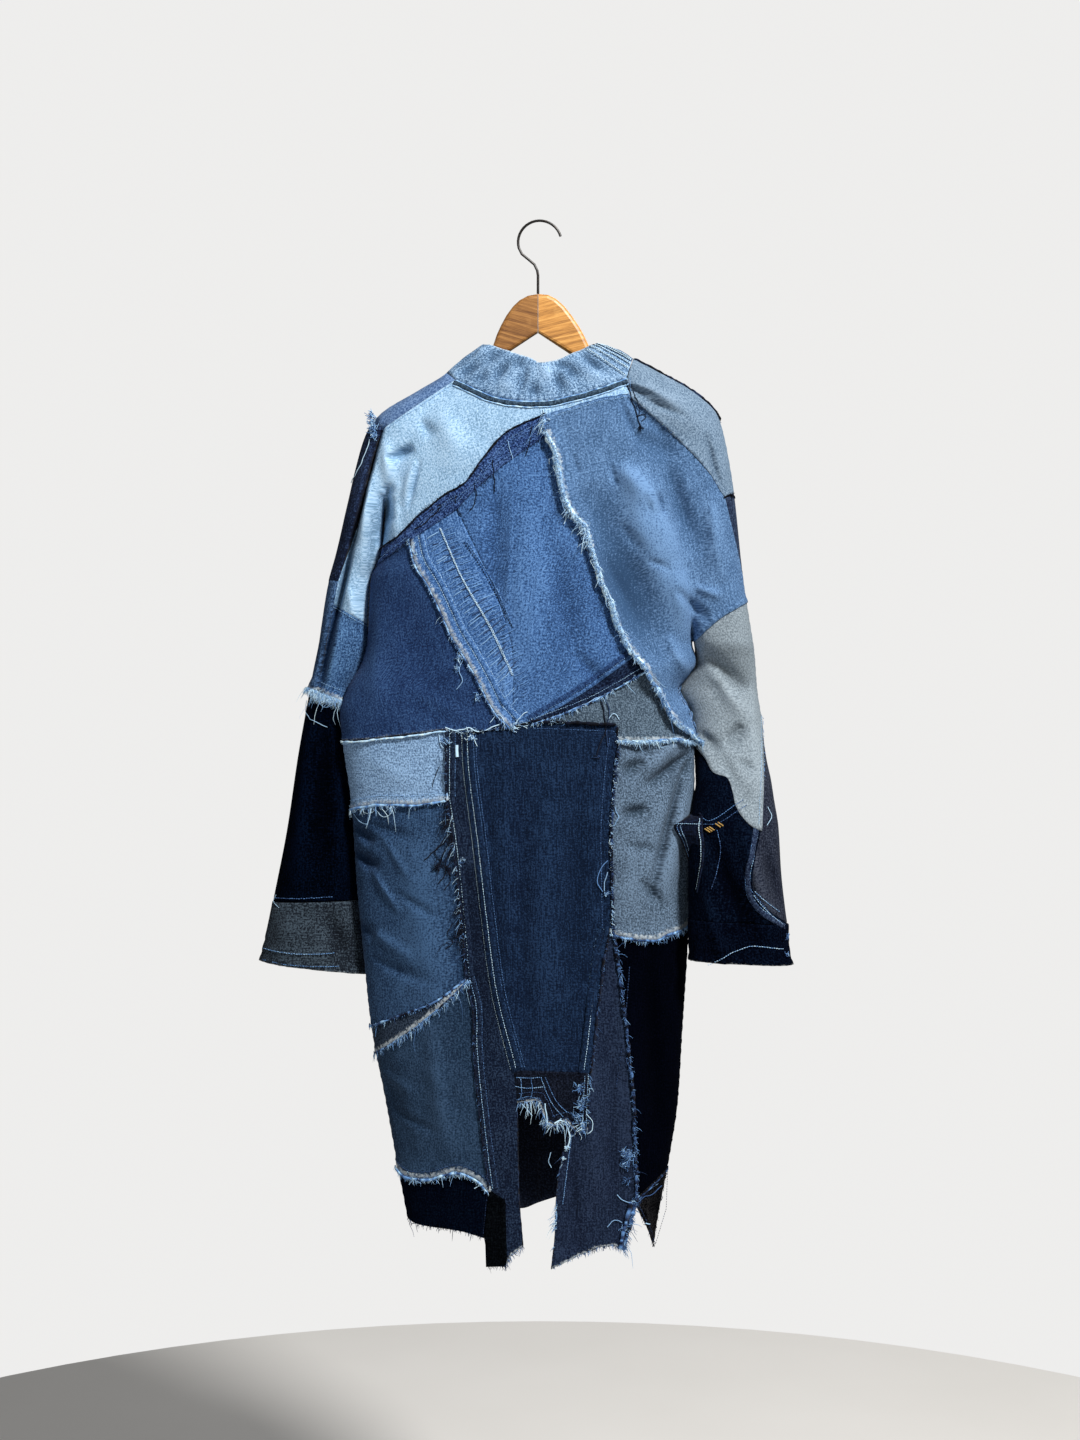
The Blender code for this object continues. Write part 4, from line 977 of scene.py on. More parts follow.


def denim(name, dark, mid, pale, speck=0.5, streak=0.4, cloud=0.4, twill=0.5,
          seam=0.5, slant=45, gloss=1.0):
    """Worn denim: fading in clouds, slubs along the warp, twill lines, rubbed edges, and folds painted
    paler on their ridges and darker in their hollows, partly fading and partly painted light and
    shade.
    """
    n = Nodes(name, 0.9, Sheen_Weight=0.03 * gloss, Sheen_Roughness=0.5,
              Specular_IOR_Level=0.06 * gloss)
    weave = n.attribute("weave", vector=True)
    clouds = n.noise(weave, 11, 3, 0.55)
    patches = n.noise(weave, 46, 3, 0.6)
    slubs = n.noise(n.scaled(weave, (780, 42, 1)), 1, 2, 0.6)
    picks = n.noise(n.scaled(weave, (60, 640, 1)), 1, 2, 0.5)
    flecks = n.noise(weave, 430, 2, 0.7)
    value = 0.5
    for texture, amount in ((clouds, 0.6 * cloud), (patches, 0.8 * cloud), (slubs, 2.3 * streak),
                            (picks, 0.7 * streak), (flecks, 5.6 * speck)):
        value = n.varied(value, texture, amount)
    # Painted light and shade: ridges of the folds paler and hollows darker, partly fading and partly
    # painted shade.
    stand = n.math("MULTIPLY", n.attribute("stand"), FOLD_FADE_AND_SHADE)
    value = n.math("ADD", value, n.math("MAXIMUM", n.math("MINIMUM", stand, 0.3), -0.45))
    sewn, along = n.attribute("sewn"), n.attribute("along")
    near = n.remap(sewn, 0.0, 0.011, 1.0, 0.0)
    wave = n.math("SINE", n.math("ADD", n.math("MULTIPLY", along, math.tau / PUCKER_PITCH),
                                 n.math("MULTIPLY", n.noise(weave, 60, 2), 9.0)))
    value = n.math("ADD", value, n.math("MULTIPLY", n.math("MULTIPLY", wave, near), 0.24 * seam))
    value = n.math("ADD", value, n.remap(sewn, 0.0, 0.0022, 0.22 * seam, 0.0))
    colour = n.ramp(value, (0.12, dark), (0.5, mid), (0.88, pale))
    c, s = math.cos(math.radians(slant)), math.sin(math.radians(slant))
    lines = n.add("ShaderNodeVectorMath", operation="DOT_PRODUCT")
    n.feed(lines.inputs[0], weave)
    n.feed(lines.inputs[1], (c, s, 0))
    ridge = n.math("SINE", n.math("MULTIPLY", lines.outputs["Value"], math.tau / TWILL_PITCH))
    colour = n.mix(n.math("MULTIPLY", n.remap(ridge, -0.2, 0.9), 0.22 * twill), colour,
                   tuple(0.45 * d + 0.55 * p for d, p in zip(dark, pale)))
    edge = n.varied(n.attribute("raw"), n.noise(weave, 240, 3, 0.7), 0.009)
    colour = n.mix(n.remap(edge, 0.0004, 0.0036, 0.8, 0.0), colour, FRAY_PALE)
    height = n.math("ADD", n.math("MULTIPLY", ridge, 0.25 * twill), slubs)
    height = n.math("ADD", height, n.math("MULTIPLY", flecks, 0.9))
    return n.finish(colour, height, 0.35, 0.8)


# The binding row is a real strip of dark denim, its colours partly painted shade under the collar's
# foot.
# Screen colours of each panel's denim: where it is dark, as a whole, and where it is rubbed
# pale; then how strong the speckle, the streaks along the warp and the clouds of fading are.
SHADES = read_rows("""
# panel                dark   .   . mid   .   . pale   .   . speck streak cloud
yoke_left              102 135 164 145 180 212 178 208 233 0.45 0.35 0.55
waistband_strip          7  21  56  28  49  95  78 108 160  0.6  0.5  0.6
centre_upper            31  55  92  57  91 140  91 130 180  0.5 0.45 0.55
ladder_strip            32  63 107  60  97 150 105 144 193  0.5  0.5  0.7
indigo_left             16  31  63  31  54  94  55  84 126 0.45  0.5  0.5
centre_seam_strip        2   7  25  12  24  48  39  55  82  0.6  0.5  0.6
upper_right             48  75 108  75 105 143 107 141 182 0.45  0.4 0.55
shoulder_right          71  91 113 104 126 148 133 154 176  0.5 0.35  0.5
waist_chambray          42  56  71  69  84  98 101 120 138 0.55  0.5 0.55
waist_patch             76 100 129 117 148 184 151 184 219 0.65  0.5  0.4
skirt_left              16  34  59  38  60  89  61  90 125  0.5 0.55  0.5
wedge_strip              7  17  32  25  37  53  56  69  87  0.6  0.5  0.6
skirt_left_low          16  32  52  34  54  77  53  75 102  0.5 0.55 0.45
hem_left                 1   2   7   2   5  18   7  17  31  0.5  0.4  0.6
hem_tab                  1   2   3   3   4   7  11  15  19  0.5  0.4  0.6
side_strip               4  11  29  14  26  47  40  55  78  0.6  0.6  0.6
centre_lower             4  15  34  11  27  51  31  52  82 0.45  0.8 0.55
pocket_band              1   3  12   5  10  23  26  33  49  0.6  0.5  0.7
chambray_right          48  63  78  79  96 115 108 130 154  0.6 0.35  0.5
lower_right              8  16  34  21  32  53  41  54  78  0.5  0.6  0.5
black_right              0   1   4   1   2   7   3   5  16  0.4  0.4  0.5
black_tip                1   1   3   8   8  11  34  34  36  0.6  0.4  0.9
sleeve_left_mid         22  43  75  53  84 126  90 128 170  0.5  0.5  0.7
grey_sleeve            100 112 121 126 138 147 151 164 174  0.6 0.25  0.4
sleeve_right_dark        1   2   7   2   5  17  12  23  40  0.5  0.5  0.7
sleeve_left_front        6  12  30  17  27  51  52  70 104  0.5  0.5  0.6
sleeve_left_front_mid   14  30  52  52  80 118  92 122 160  0.5  0.5  0.6
sleeve_right_front      12  22  44  30  42  66  64  80 106  0.5  0.5  0.6
sleeve_right_front_low  11  15  27  28  34  49  60  66  80  0.5  0.5  0.6
front_left              52  78 118  84 112 154 120 148 186  0.5  0.4  0.6
front_right             70  98 136 104 134 174 140 168 206  0.5  0.4  0.6
sleeve_left_low          0   1   3   1   3  11   4  14  32  0.5  0.5  0.6
cuff_left               12  17  25  31  39  48  66  79  91  0.6  0.6  0.8
cuff_right               1   1   5   2   5  16  10  19  36  0.5  0.5  0.6
collar_band             56  82 111 105 137 172 156 186 216 0.55  0.4  0.9
collar_right            34  50  78  66  92 128 120 150 184 0.55  0.4  0.8
pocket_corner            2   5  16   7  14  32  22  34  58  0.5  0.5  0.5
binding                 22  34  46  44  62  80  74  96 116  0.4  0.4  0.4
""")

# How the plain settings differ on some panels.
LOOKS = {
    "waist_patch": {"slant": -35},
    "grey_sleeve": {"twill": 0.9, "slant": 20},
    "chambray_right": {"twill": 0.2},
    "waist_chambray": {"twill": 0.2},
    "yoke_left": {"twill": 0.35},
    "collar_band": {"seam": 0.9},
    "black_tip": {"seam": 0.1},
}
NEARLY_BLACK, DARK = 30, 60          # sums of the three parts of a denim's middle shade


def make_cloths():
    """Each panel's denim outside, and its reverse: paler and greyer, or nearly black."""
    cloths, insides = {}, {}
    reverse_dark = denim("reverse_dark", rgb(6, 10, 22), rgb(14, 20, 36), rgb(34, 42, 60))
    reverse_pale = denim("reverse_pale", rgb(70, 80, 94), rgb(104, 114, 128), rgb(140, 150, 162))
    for name, *shades, speck, streak, cloud in SHADES:
        dark, mid, pale = (shades[k:k + 3] for k in (0, 3, 6))
        cloths[name] = denim(name + "_denim", rgb(*dark), rgb(*mid), rgb(*pale), speck, streak, cloud,
                             gloss=0.1 if sum(mid) < NEARLY_BLACK else 1.0, **LOOKS.get(name, {}))
        dark_inside = name.startswith("front") or sum(mid) < DARK
        insides[name] = reverse_dark if dark_inside else reverse_pale
    return cloths, insides


def flat_size(points):
    """Sides of the smallest rectangle that holds points of the flat cloth."""
    best = None
    for angle in np.radians(np.arange(0, 90, 3)):
        c, s = math.cos(angle), math.sin(angle)
        sides = np.ptp(points @ np.array(((c, -s), (s, c))), axis=0)
        if best is None or sides.prod() < best.prod():
            best = sides
    return best


def cloth_area(points, faces):
    a, b, c = (points[np.asarray(faces)[:, k]] for k in range(3))
    return float(np.linalg.norm(np.cross(b - a, c - a), axis=1).sum() / 2)


CUT_SPARE = 1.02      # what the frayed edges and the stitches take up


def sheet_of(piece, flat, area):
    """Attach a cloth piece to the one body; its flat cut and area are worked out but not stated."""
    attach(piece, "root")
    width, length = (round(float(side), 4) for side in flat)
    area = min(area * CUT_SPARE, width * length)


def declare(piece, node, flat, area):
    """Attach a cloth piece that stands for a CAD node, and hide that node."""
    sheet_of(piece, flat, area)
    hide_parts(node)


def grid_faces(rows, columns, closed):
    """Triangles between the rows of a grid of points, outside first."""
    faces = []
    for r in range(rows - 1):
        for c in range(columns if closed else columns - 1):
            d = (c + 1) % columns
            a, b, e, f = (r * columns + c, (r + 1) * columns + c,
                          (r + 1) * columns + d, r * columns + d)
            faces += [(a, b, e), (a, e, f)]
    return faces


def chain(names):
    """The seams end to end as one closed outline: points, outward directions, x, z, front, seam."""
    seams = [Seam.known[name] for name in names]
    any_front = any(seam.front for seam in seams)
    rows = []
    end = seams[0].at[0] if np.allclose(seams[0].at[-1], seams[0].at[0]) else seams[0].at[-1]
    following = seams[1].at[[0, -1]]
    if np.linalg.norm(following - seams[0].at[-1], axis=1).min() < 0.01:
        end = seams[0].at[0]
    for k, seam in enumerate(seams):
        forward = np.linalg.norm(seam.at[0] - end) <= np.linalg.norm(seam.at[-1] - end)
        order = slice(None, None, 1 if forward else -1)
        end = seam.at[order][-1]
        for at, out, x, z in list(zip(seam.at, seam.out, seam.x, seam.z))[order][:-1]:
            rows.append((at, out, x, z, any_front if seam.on_edge else seam.front, k))
    return [np.array(column) for column in zip(*rows)]


def inside(polygon, points):
    """Which points lie in the polygon, by counting crossings."""
    x, y = points.T
    result = np.zeros(len(points), bool)
    for (x0, y0), (x1, y1) in zip(polygon, np.roll(polygon, -1, axis=0)):
        crosses = (y0 > y) != (y1 > y)
        where = (x1 - x0) * (y - y0) / (y1 - y0 if y1 != y0 else 1) + x0
        result ^= crosses & (x < where)
    return result


def nearest(points, line):
    """Distance from each point to the closest point of a line, and that one's number."""
    distance, number = np.empty(len(points)), np.empty(len(points), int)
    for start in range(0, len(points), 4000):
        some = points[start:start + 4000]
        square = (some**2).sum(1)[:, None] + (line**2).sum(1)[None] - 2 * some @ line.T
        best = square.argmin(axis=1)
        number[start:start + 4000] = best
        distance[start:start + 4000] = np.sqrt(np.clip(square[np.arange(len(some)), best], 0, None))
    return distance, number


def arc_length(line):
    return np.concatenate([[0], np.cumsum(np.linalg.norm(np.diff(line, axis=0), axis=1))])


def unit(vectors):
    return vectors / np.maximum(np.linalg.norm(vectors, axis=-1, keepdims=True), 1e-9)


def unrolled(tube, turn, z):
    return turn * (tube.high(z) - tube.low(z)) * 0.55


def away_from(at, out):
    """In-surface directions out of a closed rim that runs anticlockwise."""
    ahead = unit(np.roll(at, -1, axis=0) - at)
    behind = np.roll(ahead, 1, axis=0)
    return unit(np.cross(ahead + behind, out))


FAR = 60.0            # further from an edge than its looks reach, mm


def lie_of(points, seams, raw, spec):
    """Per point: lift off the form, and distances to the raw and to the sewn edges."""
    lift = np.zeros(len(points))
    raw_far, sewn_far = np.full(len(points), FAR), np.full(len(points), FAR)
    along = np.zeros(len(points))
    for k, (name, line) in enumerate(seams):
        distance, number = nearest(points, line)
        length = arc_length(line)[number]
        if name in raw:
            raw_far = np.minimum(raw_far, distance)
        else:
            closer = distance < sewn_far
            along[closer] = length[closer] + 97 * k
            sewn_far[closer] = distance[closer]
        if name in spec:
            height, width = spec[name][1:]
            ramp = np.clip(1 - distance / width, 0, 1)
            wave = 0.75 + 0.25 * noise(length, 0 * length, 14, 40 + k)
            lift += height * smooth(ramp) * wave
    pucker = np.sin(along * math.tau / 13 + 2.5 * noise(along, 0 * along, 19, 9))
    lift += PUCKER * pucker * np.exp(-((sewn_far / 7) ** 2)) * (sewn_far > 0.5)
    return lift, raw_far, sewn_far, along


def add_mesh(name, points, faces, materials, **attributes):
    """A mesh object from points in mm, with one float or vector attribute per keyword."""
    data = bpy.data.meshes.new(name)
    data.from_pydata((np.asarray(points) * MM).tolist(), [], np.asarray(faces).tolist())
    for material in materials:
        data.materials.append(material)
    for key, values in attributes.items():
        kind = "FLOAT_VECTOR" if np.ndim(values) == 2 else "FLOAT"
        layer = data.attributes.new(key, kind, "POINT")
        layer.data.foreach_set("vector" if kind != "FLOAT" else "value", np.ravel(values))
    data.shade_smooth()
    piece = bpy.data.objects.new(name, data)
    bpy.context.scene.collection.objects.link(piece)
    return piece


def add_cloth(name, materials, points, faces, weave, wall=CLOTH, **lengths):
    """A shell of cloth, its inner side in the second material, from points and lengths in mm."""
    across = {key: np.broadcast_to(values, len(points)) * MM for key, values in lengths.items()}
    piece = add_mesh(name, points, faces, materials, weave=weave, **across)
    solid = piece.modifiers.new("thickness", "SOLIDIFY")
    solid.thickness = wall * MM
    solid.offset = -1
    solid.material_offset = 1
    solid.use_even_offset = False
    return piece


ROW_SHARE, COLUMN_SHARE = 0.87, 0.8  # spacing of a panel's rows and columns, in steps
CLEAR_SHARE = 0.6     # how near its rim a panel's inner points may lie, in steps
RAGGED = 0.7          # how far a raw edge strays, mm


def cut_panel(name):
    """A panel as a fine sheet inside its seams, raised or sunk along them as EDGES says."""
    tube, wrap, names = PANELS[name]
    spec = {seam: values for (panel, seam), values in EDGES.items() if panel == name}
    raw = RAW.get(name, ())
    step = BACK_STEP
    if "front" in name:
        step = FRONT_STEP if name.startswith("front") else HIDDEN_STEP
    at, out, x, z, front, which = chain(names)
    turn = turn_of(tube, x, z, front, wrap)
    rim = np.stack([unrolled(tube, turn, z), z], axis=-1)
    shift = np.roll(rim, -1, axis=0)
    if np.sum(rim[:, 0] * shift[:, 1] - shift[:, 0] * rim[:, 1]) < 0:
        at, out, rim, front, which = (part[::-1] for part in (at, out, rim, front, which))
    low, high = rim.min(axis=0), rim.max(axis=0)
    rows = np.arange(low[1] + step / 2, high[1], step * ROW_SHARE)
    columns = np.arange(low[0], high[0], step * COLUMN_SHARE)
    shifts = (0, step * 0.4)
    grid = np.array([(a + shifts[i % 2], b) for i, b in enumerate(rows) for a in columns])
    grid = grid.reshape(-1, 2)
    grid = grid[inside(rim, grid)]
    turn_in = grid[:, 0] / unrolled(tube, 1.0, grid[:, 1])
    points_in = place(tube, turn_in, grid[:, 1])
    clear = nearest(points_in, at)[0] > CLEAR_SHARE * step
    grid, turn_in, points_in = grid[clear], turn_in[clear], points_in[clear]
    flat = np.concatenate([rim, grid])
    found = delaunay_2d_cdt([Vector(p) for p in flat], [], [list(range(len(rim)))], 1, 1e-7)
    used = [originals[0] for originals in found[3]]
    faces = [[used[i] for i in triangle] for triangle in found[2]]
    points = np.concatenate([at, points_in])
    outward = np.concatenate([out, normal(tube, turn_in, grid[:, 1])])
    lines = [(seam, Seam.known[seam].at) for seam in names if seam not in UNSEEN]
    lift, raw_far, sewn_far, along = lie_of(points, lines, raw, spec)
    points = points + outward * lift[:, None]
    reach = np.array([spec[names[k]][0] if names[k] in spec else 0.0 for k in which])
    reach = (reach + np.roll(reach, 1) + np.roll(reach, -1)) / 3
    ragged = noise(np.arange(len(rim)) * 3.0, np.zeros(len(rim)), 5, 77) * RAGGED
    is_raw = np.array([names[k] in raw for k in which])
    points[: len(rim)] += away_from(at, out) * (reach + ragged * is_raw)[:, None]
    front = np.concatenate([front, on_front(turn_in)])
    # stand carries the folds' height, which the denim paints paler on ridges and darker in hollows,
    # partly as painted shade.
    piece = add_cloth(
        name + "_cloth", [CLOTHS[name], INSIDES[name]], points, faces,
        weave_of(tube, points, front, GRAIN.get(name, 0)), raw=raw_far, sewn=sewn_far,
        along=along, stand=folds_at(points[:, 0], points[:, 2], front),
    )
    flat = weave_of(tube, points, front, 0)[:, :2]
    declare(piece, name, flat_size(flat), cloth_area(points * MM, faces))


def cotton(name):
    """Thread and frayed yarn: its shade comes from each point's tone, 0 black to 1 white."""
    n = Nodes(name, 0.85, Sheen_Weight=0.05, Specular_IOR_Level=0.1)
    spot = n.add("ShaderNodeTexCoord").outputs["Object"]
    tone = n.varied(n.attribute("tone"), n.noise(spot, 900, 2, 0.6), 0.22)
    colour = n.ramp(tone, (0.0, rgb(3, 4, 9)), (0.2, rgb(12, 20, 42)), (0.4, rgb(52, 78, 122)),
                    (0.6, rgb(98, 142, 196)), (0.8, rgb(160, 198, 230)), (1.0, rgb(214, 240, 252)))
    return n.finish(colour, n.noise(spot, 2500, 2), 0.15, 0.6)


def ochre(name):
    """The yellow-brown thread of the bartack."""
    n = Nodes(name, 0.8, Specular_IOR_Level=0.1)
    spot = n.add("ShaderNodeTexCoord").outputs["Object"]
    grain = n.noise(spot, 900, 2, 0.6)
    colour = n.ramp(grain, (0.3, rgb(120, 92, 48)), (0.7, rgb(196, 160, 96)))
    return n.finish(colour, grain, 0.15, 0.6)


AT_EDGE = 0.97        # turn beyond which a place counts as on its tube's edge


def on_cloth(tube, x, z, lift=0.0):
    """Points on the back of the jacket at x, z, lifted off it."""
    turn = turn_of(tube, x, z, False, 1)
    points = place(tube, turn, z) + normal(tube, turn, z) * lift
    points[..., 0] = np.where(np.abs(turn) > AT_EDGE, x, points[..., 0])
    return points


THREAD_REACH = 15.0   # the furthest that a thread stands off the cloth, mm
THREAD_GAP = 0.5      # and the nearest, mm


def kept_clear(tube, paths):
    """Paths with each point brought outside the cloth behind it, and not far off it."""
    x, z = paths[..., 0].ravel(), paths[..., 2].ravel()
    limit = on_cloth(tube, x, z)[:, 1].reshape(paths.shape[:-1]) - THREAD_GAP
    inside_edge = np.abs(turn_of(tube, x, z, False, 1)).reshape(limit.shape) < AT_EDGE
    near = np.clip(paths[..., 1], limit - THREAD_REACH, limit)
    paths[..., 1] = np.where(inside_edge, near, paths[..., 1])
    return paths


class Threads:
    """Many thin tubes joined in one mesh."""

    def __init__(self, name, sides=3, material=None):
        self.name, self.sides, self.material = name, sides, material or COTTON
        self.points, self.faces, self.tones = [], [], []
        self.count = 0

    def add(self, paths, radius, tone):
        """Tubes along paths (n, m, 3); radius and tone are single, per path or per point."""
        n, m = paths.shape[:2]
        radius, tone = (
            np.broadcast_to(values if np.ndim(values) == 2 else np.reshape(values, (-1, 1)), (n, m))
            for values in (radius, tone)
        )
        ahead = unit(np.gradient(paths, axis=1))
        first = unit(np.cross(ahead, (0.31, 0.87, 0.39)))
        second = np.cross(ahead, first)
        turn = np.linspace(0, math.tau, self.sides, endpoint=False)
        ring = first[:, :, None] * np.cos(turn)[:, None] + second[:, :, None] * np.sin(turn)[:, None]
        points = paths[:, :, None] + ring * radius[:, :, None, None]
        number = self.count + np.arange(n * m * self.sides).reshape(n, m, self.sides)
        a, b = number[:, :-1], number[:, 1:]
        a2, b2 = np.roll(a, -1, axis=2), np.roll(b, -1, axis=2)
        self.faces.append(np.stack([a, a2, b2, b], axis=-1).reshape(-1, 4))
        self.points.append(points.reshape(-1, 3))
        self.tones.append(np.repeat(tone.ravel(), self.sides))
        self.count += n * m * self.sides

    def made(self):
        piece = add_mesh(self.name, np.concatenate(self.points), np.concatenate(self.faces),
                         [self.material], tone=np.concatenate(self.tones))
        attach(piece, "root")


class Line:
    """A line on the cloth, evenly spaced: points, directions along, out and to one side."""

    def __init__(self, at, out, away):
        s = arc_length(at)
        self.length = s[-1]
        even = np.linspace(0, s[-1], max(2, round(s[-1] / PATH_STEP) + 1))
        self.s = even
        self.at, self.out, self.away = (
            np.stack([np.interp(even, s, values[:, k]) for k in range(3)], axis=-1)
            for values in (at, out, away)
        )
        self.out, self.away = unit(self.out), unit(self.away)
        self.ahead = unit(np.gradient(self.at, axis=0))

    def pick(self, where, name="at"):
        """Values at distances along the line."""
        values = getattr(self, name)
        return np.stack([np.interp(where, self.s, values[:, k]) for k in range(3)], axis=-1)


def edge_line(panel, seam, inset=0.0):
    """A seam as the edge of one of its panels, on the panel's raised edge or inside it."""
    line = Seam.known[seam]
    reach, lift, width = EDGES.get((panel, seam), (0.0, 0.0, 8.0))
    away = unit(np.cross(unit(np.gradient(line.at, axis=0)), line.out))
    middle = np.mean(np.concatenate([Seam.known[name].at for name in PANELS[panel][2]]), axis=0)
    k = len(away) // 2
    if np.dot(away[k], middle - line.at[k]) > 0:
        away = -away
    height = lift * smooth(np.clip(1 - inset / width, 0, 1)) * 0.9
    if inset > 0:
        x, z = line.x - away[:, 0] * inset, line.z - away[:, 2] * inset
        at = on_cloth(PANELS[panel][0], x, z, height)
    else:
        at = line.at + away * reach + line.out * height
    return Line(at, line.out, away)


def free_line(tube, corners, lift=0.0):
    """A line through x, z points on the back."""
    x, z = np.array(Seam.spaced(tube, corners, None, False), float).T
    at = on_cloth(tube, x, z, lift)
    turn = turn_of(tube, x, z, False, 1)
    out = normal(tube, turn, z)
    return Line(at, out, unit(np.cross(unit(np.gradient(at, axis=0)), out)))


YARN = 0.33           # radius of a loose yarn end, mm


def fray(threads, tube, line, seed, rate, length, tone, spread, hang, stand=1.0, span=(0, 1)):
    """Loose yarn ends along a raw edge, thicker in some places than in others."""
    rng = np.random.default_rng(seed)
    n = round(rate * line.length * (span[1] - span[0]))
    where = line.length * rng.uniform(*span, n)
    clump = 0.55 + 0.75 * (noise(where, 0 * where, 11, seed) + 1) / 2
    long = np.where(rng.random(n) < 0.035, 2.6, 1.0)
    reach = length * rng.uniform(0.35, 1.25, n) * clump * long
    lean = rng.normal(0, spread, n)
    rise = rng.normal(0.25, 0.28, n)
    base = line.pick(where)
    ahead, away, out = (line.pick(where, key) for key in ("ahead", "away", "out"))
    way = unit(away * np.cos(lean)[:, None] + ahead * np.sin(lean)[:, None] + out * rise[:, None])
    side = unit(np.cross(way, out))
    t = np.linspace(0, 1, 5)[None, :, None]
    curl = rng.normal(0, 0.22, (n, 1, 1))
    curl = curl * np.sin(t * rng.uniform(2, 6, (n, 1, 1)) + rng.uniform(0, 6, (n, 1, 1)))
    start = base - away * rng.uniform(0.2, 1.6, (n, 1)) + out * rng.uniform(0.1, stand, (n, 1))
    size = reach[:, None, None]
    paths = start[:, None] + way[:, None] * size * t + side[:, None] * size * curl
    paths[..., 2] -= (hang * size[..., 0] * t[..., 0] ** 2) * rng.uniform(0.4, 1.5, (n, 1))
    paths = kept_clear(tube, paths)
    thin = YARN * rng.uniform(0.7, 1.25, (n, 1)) * np.array((1.1, 1.0, 0.95, 0.8, 0.35))
    threads.add(paths, thin, rng.uniform(*tone, n))


LUMPS, SINK = 0.35, 0.3              # of a rolled edge, as shares of its radius


def rope(threads, line, radius, tone, seed):
    """A rolled or felted edge: one lumpy cord along a line."""
    s = line.s[::2]
    at, out = line.at[::2], line.out[::2]
    away = line.away[::2]
    swell = 1 + LUMPS * noise(s, 0 * s, 4.5, seed) + 0.5 * LUMPS * noise(s, 0 * s, 2.2, seed + 1)
    wander = 0.5 * radius * noise(s, 0 * s, 9, seed + 2)
    path = at + out * (radius * (1 - SINK)) + away * wander[:, None]
    shade = (tone[0] + tone[1]) / 2 + (tone[1] - tone[0]) / 2 * noise(s, 0 * s, 3.1, seed + 3) * 1.5
    thin = radius * swell
    thin[0] = thin[-1] = 0.2 * radius
    threads.add(path[None], thin[None], shade[None])


STITCH_SHARE, STITCH_LIFT = 0.62, 0.25   # length of a stitch in its pitch, and height, mm


def stitch(threads, line, pitch, tone, seed, radius=0.38):
    """A row of stitches, each dipping into the cloth at its ends."""
    rng = np.random.default_rng(seed)
    starts = np.arange(0, line.length - pitch, pitch)
    starts = starts + rng.uniform(-0.06, 0.06, len(starts)) * pitch
    t = np.array((0.0, 0.3, 0.7, 1.0))
    where = starts[:, None] + t * STITCH_SHARE * pitch
    paths = line.pick(where.ravel()).reshape(*where.shape, 3)
    out = line.pick(where.ravel(), "out").reshape(*where.shape, 3)
    away = line.pick(where.ravel(), "away").reshape(*where.shape, 3)
    paths = paths + out * (np.array((-0.35, 1, 1, -0.35)) * STITCH_LIFT + 0.15)[:, None]
    paths = paths + away * rng.normal(0, 0.14, (len(starts), 1, 1))
    threads.add(paths, radius, rng.uniform(*tone, len(starts)))


def tuft(threads, tube, x, z, size, count, tone, seed):
    """A small knot of curled yarn ends."""
    rng = np.random.default_rng(seed)
    centre = on_cloth(tube, np.array([x]), np.array([z]), 1.2)[0]
    way = unit(rng.normal(0, 1, (count, 3)) * (1, 0.5, 1) + (0, -0.25, -0.35))
    side = unit(np.cross(way, rng.normal(0, 1, (count, 3))))
    t = np.linspace(0, 1, 6)[None, :, None]
    reach = size * rng.uniform(0.4, 1.3, (count, 1, 1))
    swing = rng.uniform(0.2, 0.5, (count, 1, 1)) * np.sin(t * rng.uniform(3, 7, (count, 1, 1)))
    start = centre + rng.normal(0, size * 0.16, (count, 1, 3)) * (1, 0.3, 1)
    paths = start + way[:, None] * reach * t + side[:, None] * reach * swing
    threads.add(kept_clear(tube, paths), 0.36, rng.uniform(*tone, count))


def loose(threads, tube, corners, radius, tone, seed):
    """One loose thread lying on the cloth along x, z points."""
    line = free_line(tube, corners, 0.8)
    s = line.s[::2]
    drift = 0.8 * noise(s, 0 * s, 6, seed)[:, None]
    height = 0.5 + 0.5 * noise(s, 0 * s, 8, seed + 1)[:, None]
    path = line.at[::2] + line.away[::2] * drift + line.out[::2] * height
    threads.add(path[None], radius, tone)


def band(name, line, width, height, cloth):
    """A narrow folded strip of cloth sewn down along a line."""
    s = line.s[::3]
    profile = [(-0.5, -0.35), (-0.44, 0.75), (-0.15, 1.0), (0.15, 1.0), (0.44, 0.75), (0.5, -0.35)]
    pucker = 1 + 0.14 * np.sin(s * math.tau / 7) + 0.12 * noise(s, 0 * s, 11, 7)
    points = np.concatenate([
        line.at[::3] + line.away[::3] * across * width
        + line.out[::3] * (height * up * (pucker if up > 0 else np.ones(len(s))))[:, None]
        for across, up in profile
    ])
    across = np.repeat([side * width for side, up in profile], len(s))
    along = np.tile(s, len(profile))
    piece = add_mesh(
        name, points, grid_faces(len(profile), len(s), False), [cloth],
        weave=np.stack([along, across, 0 * across], axis=-1) * MM,
        raw=np.full(len(points), FAR * MM), sewn=(width / 2 + 3 - np.abs(across)) * MM,
        along=along * MM, stand=np.zeros(len(points)),
    )
    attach(piece, "root")


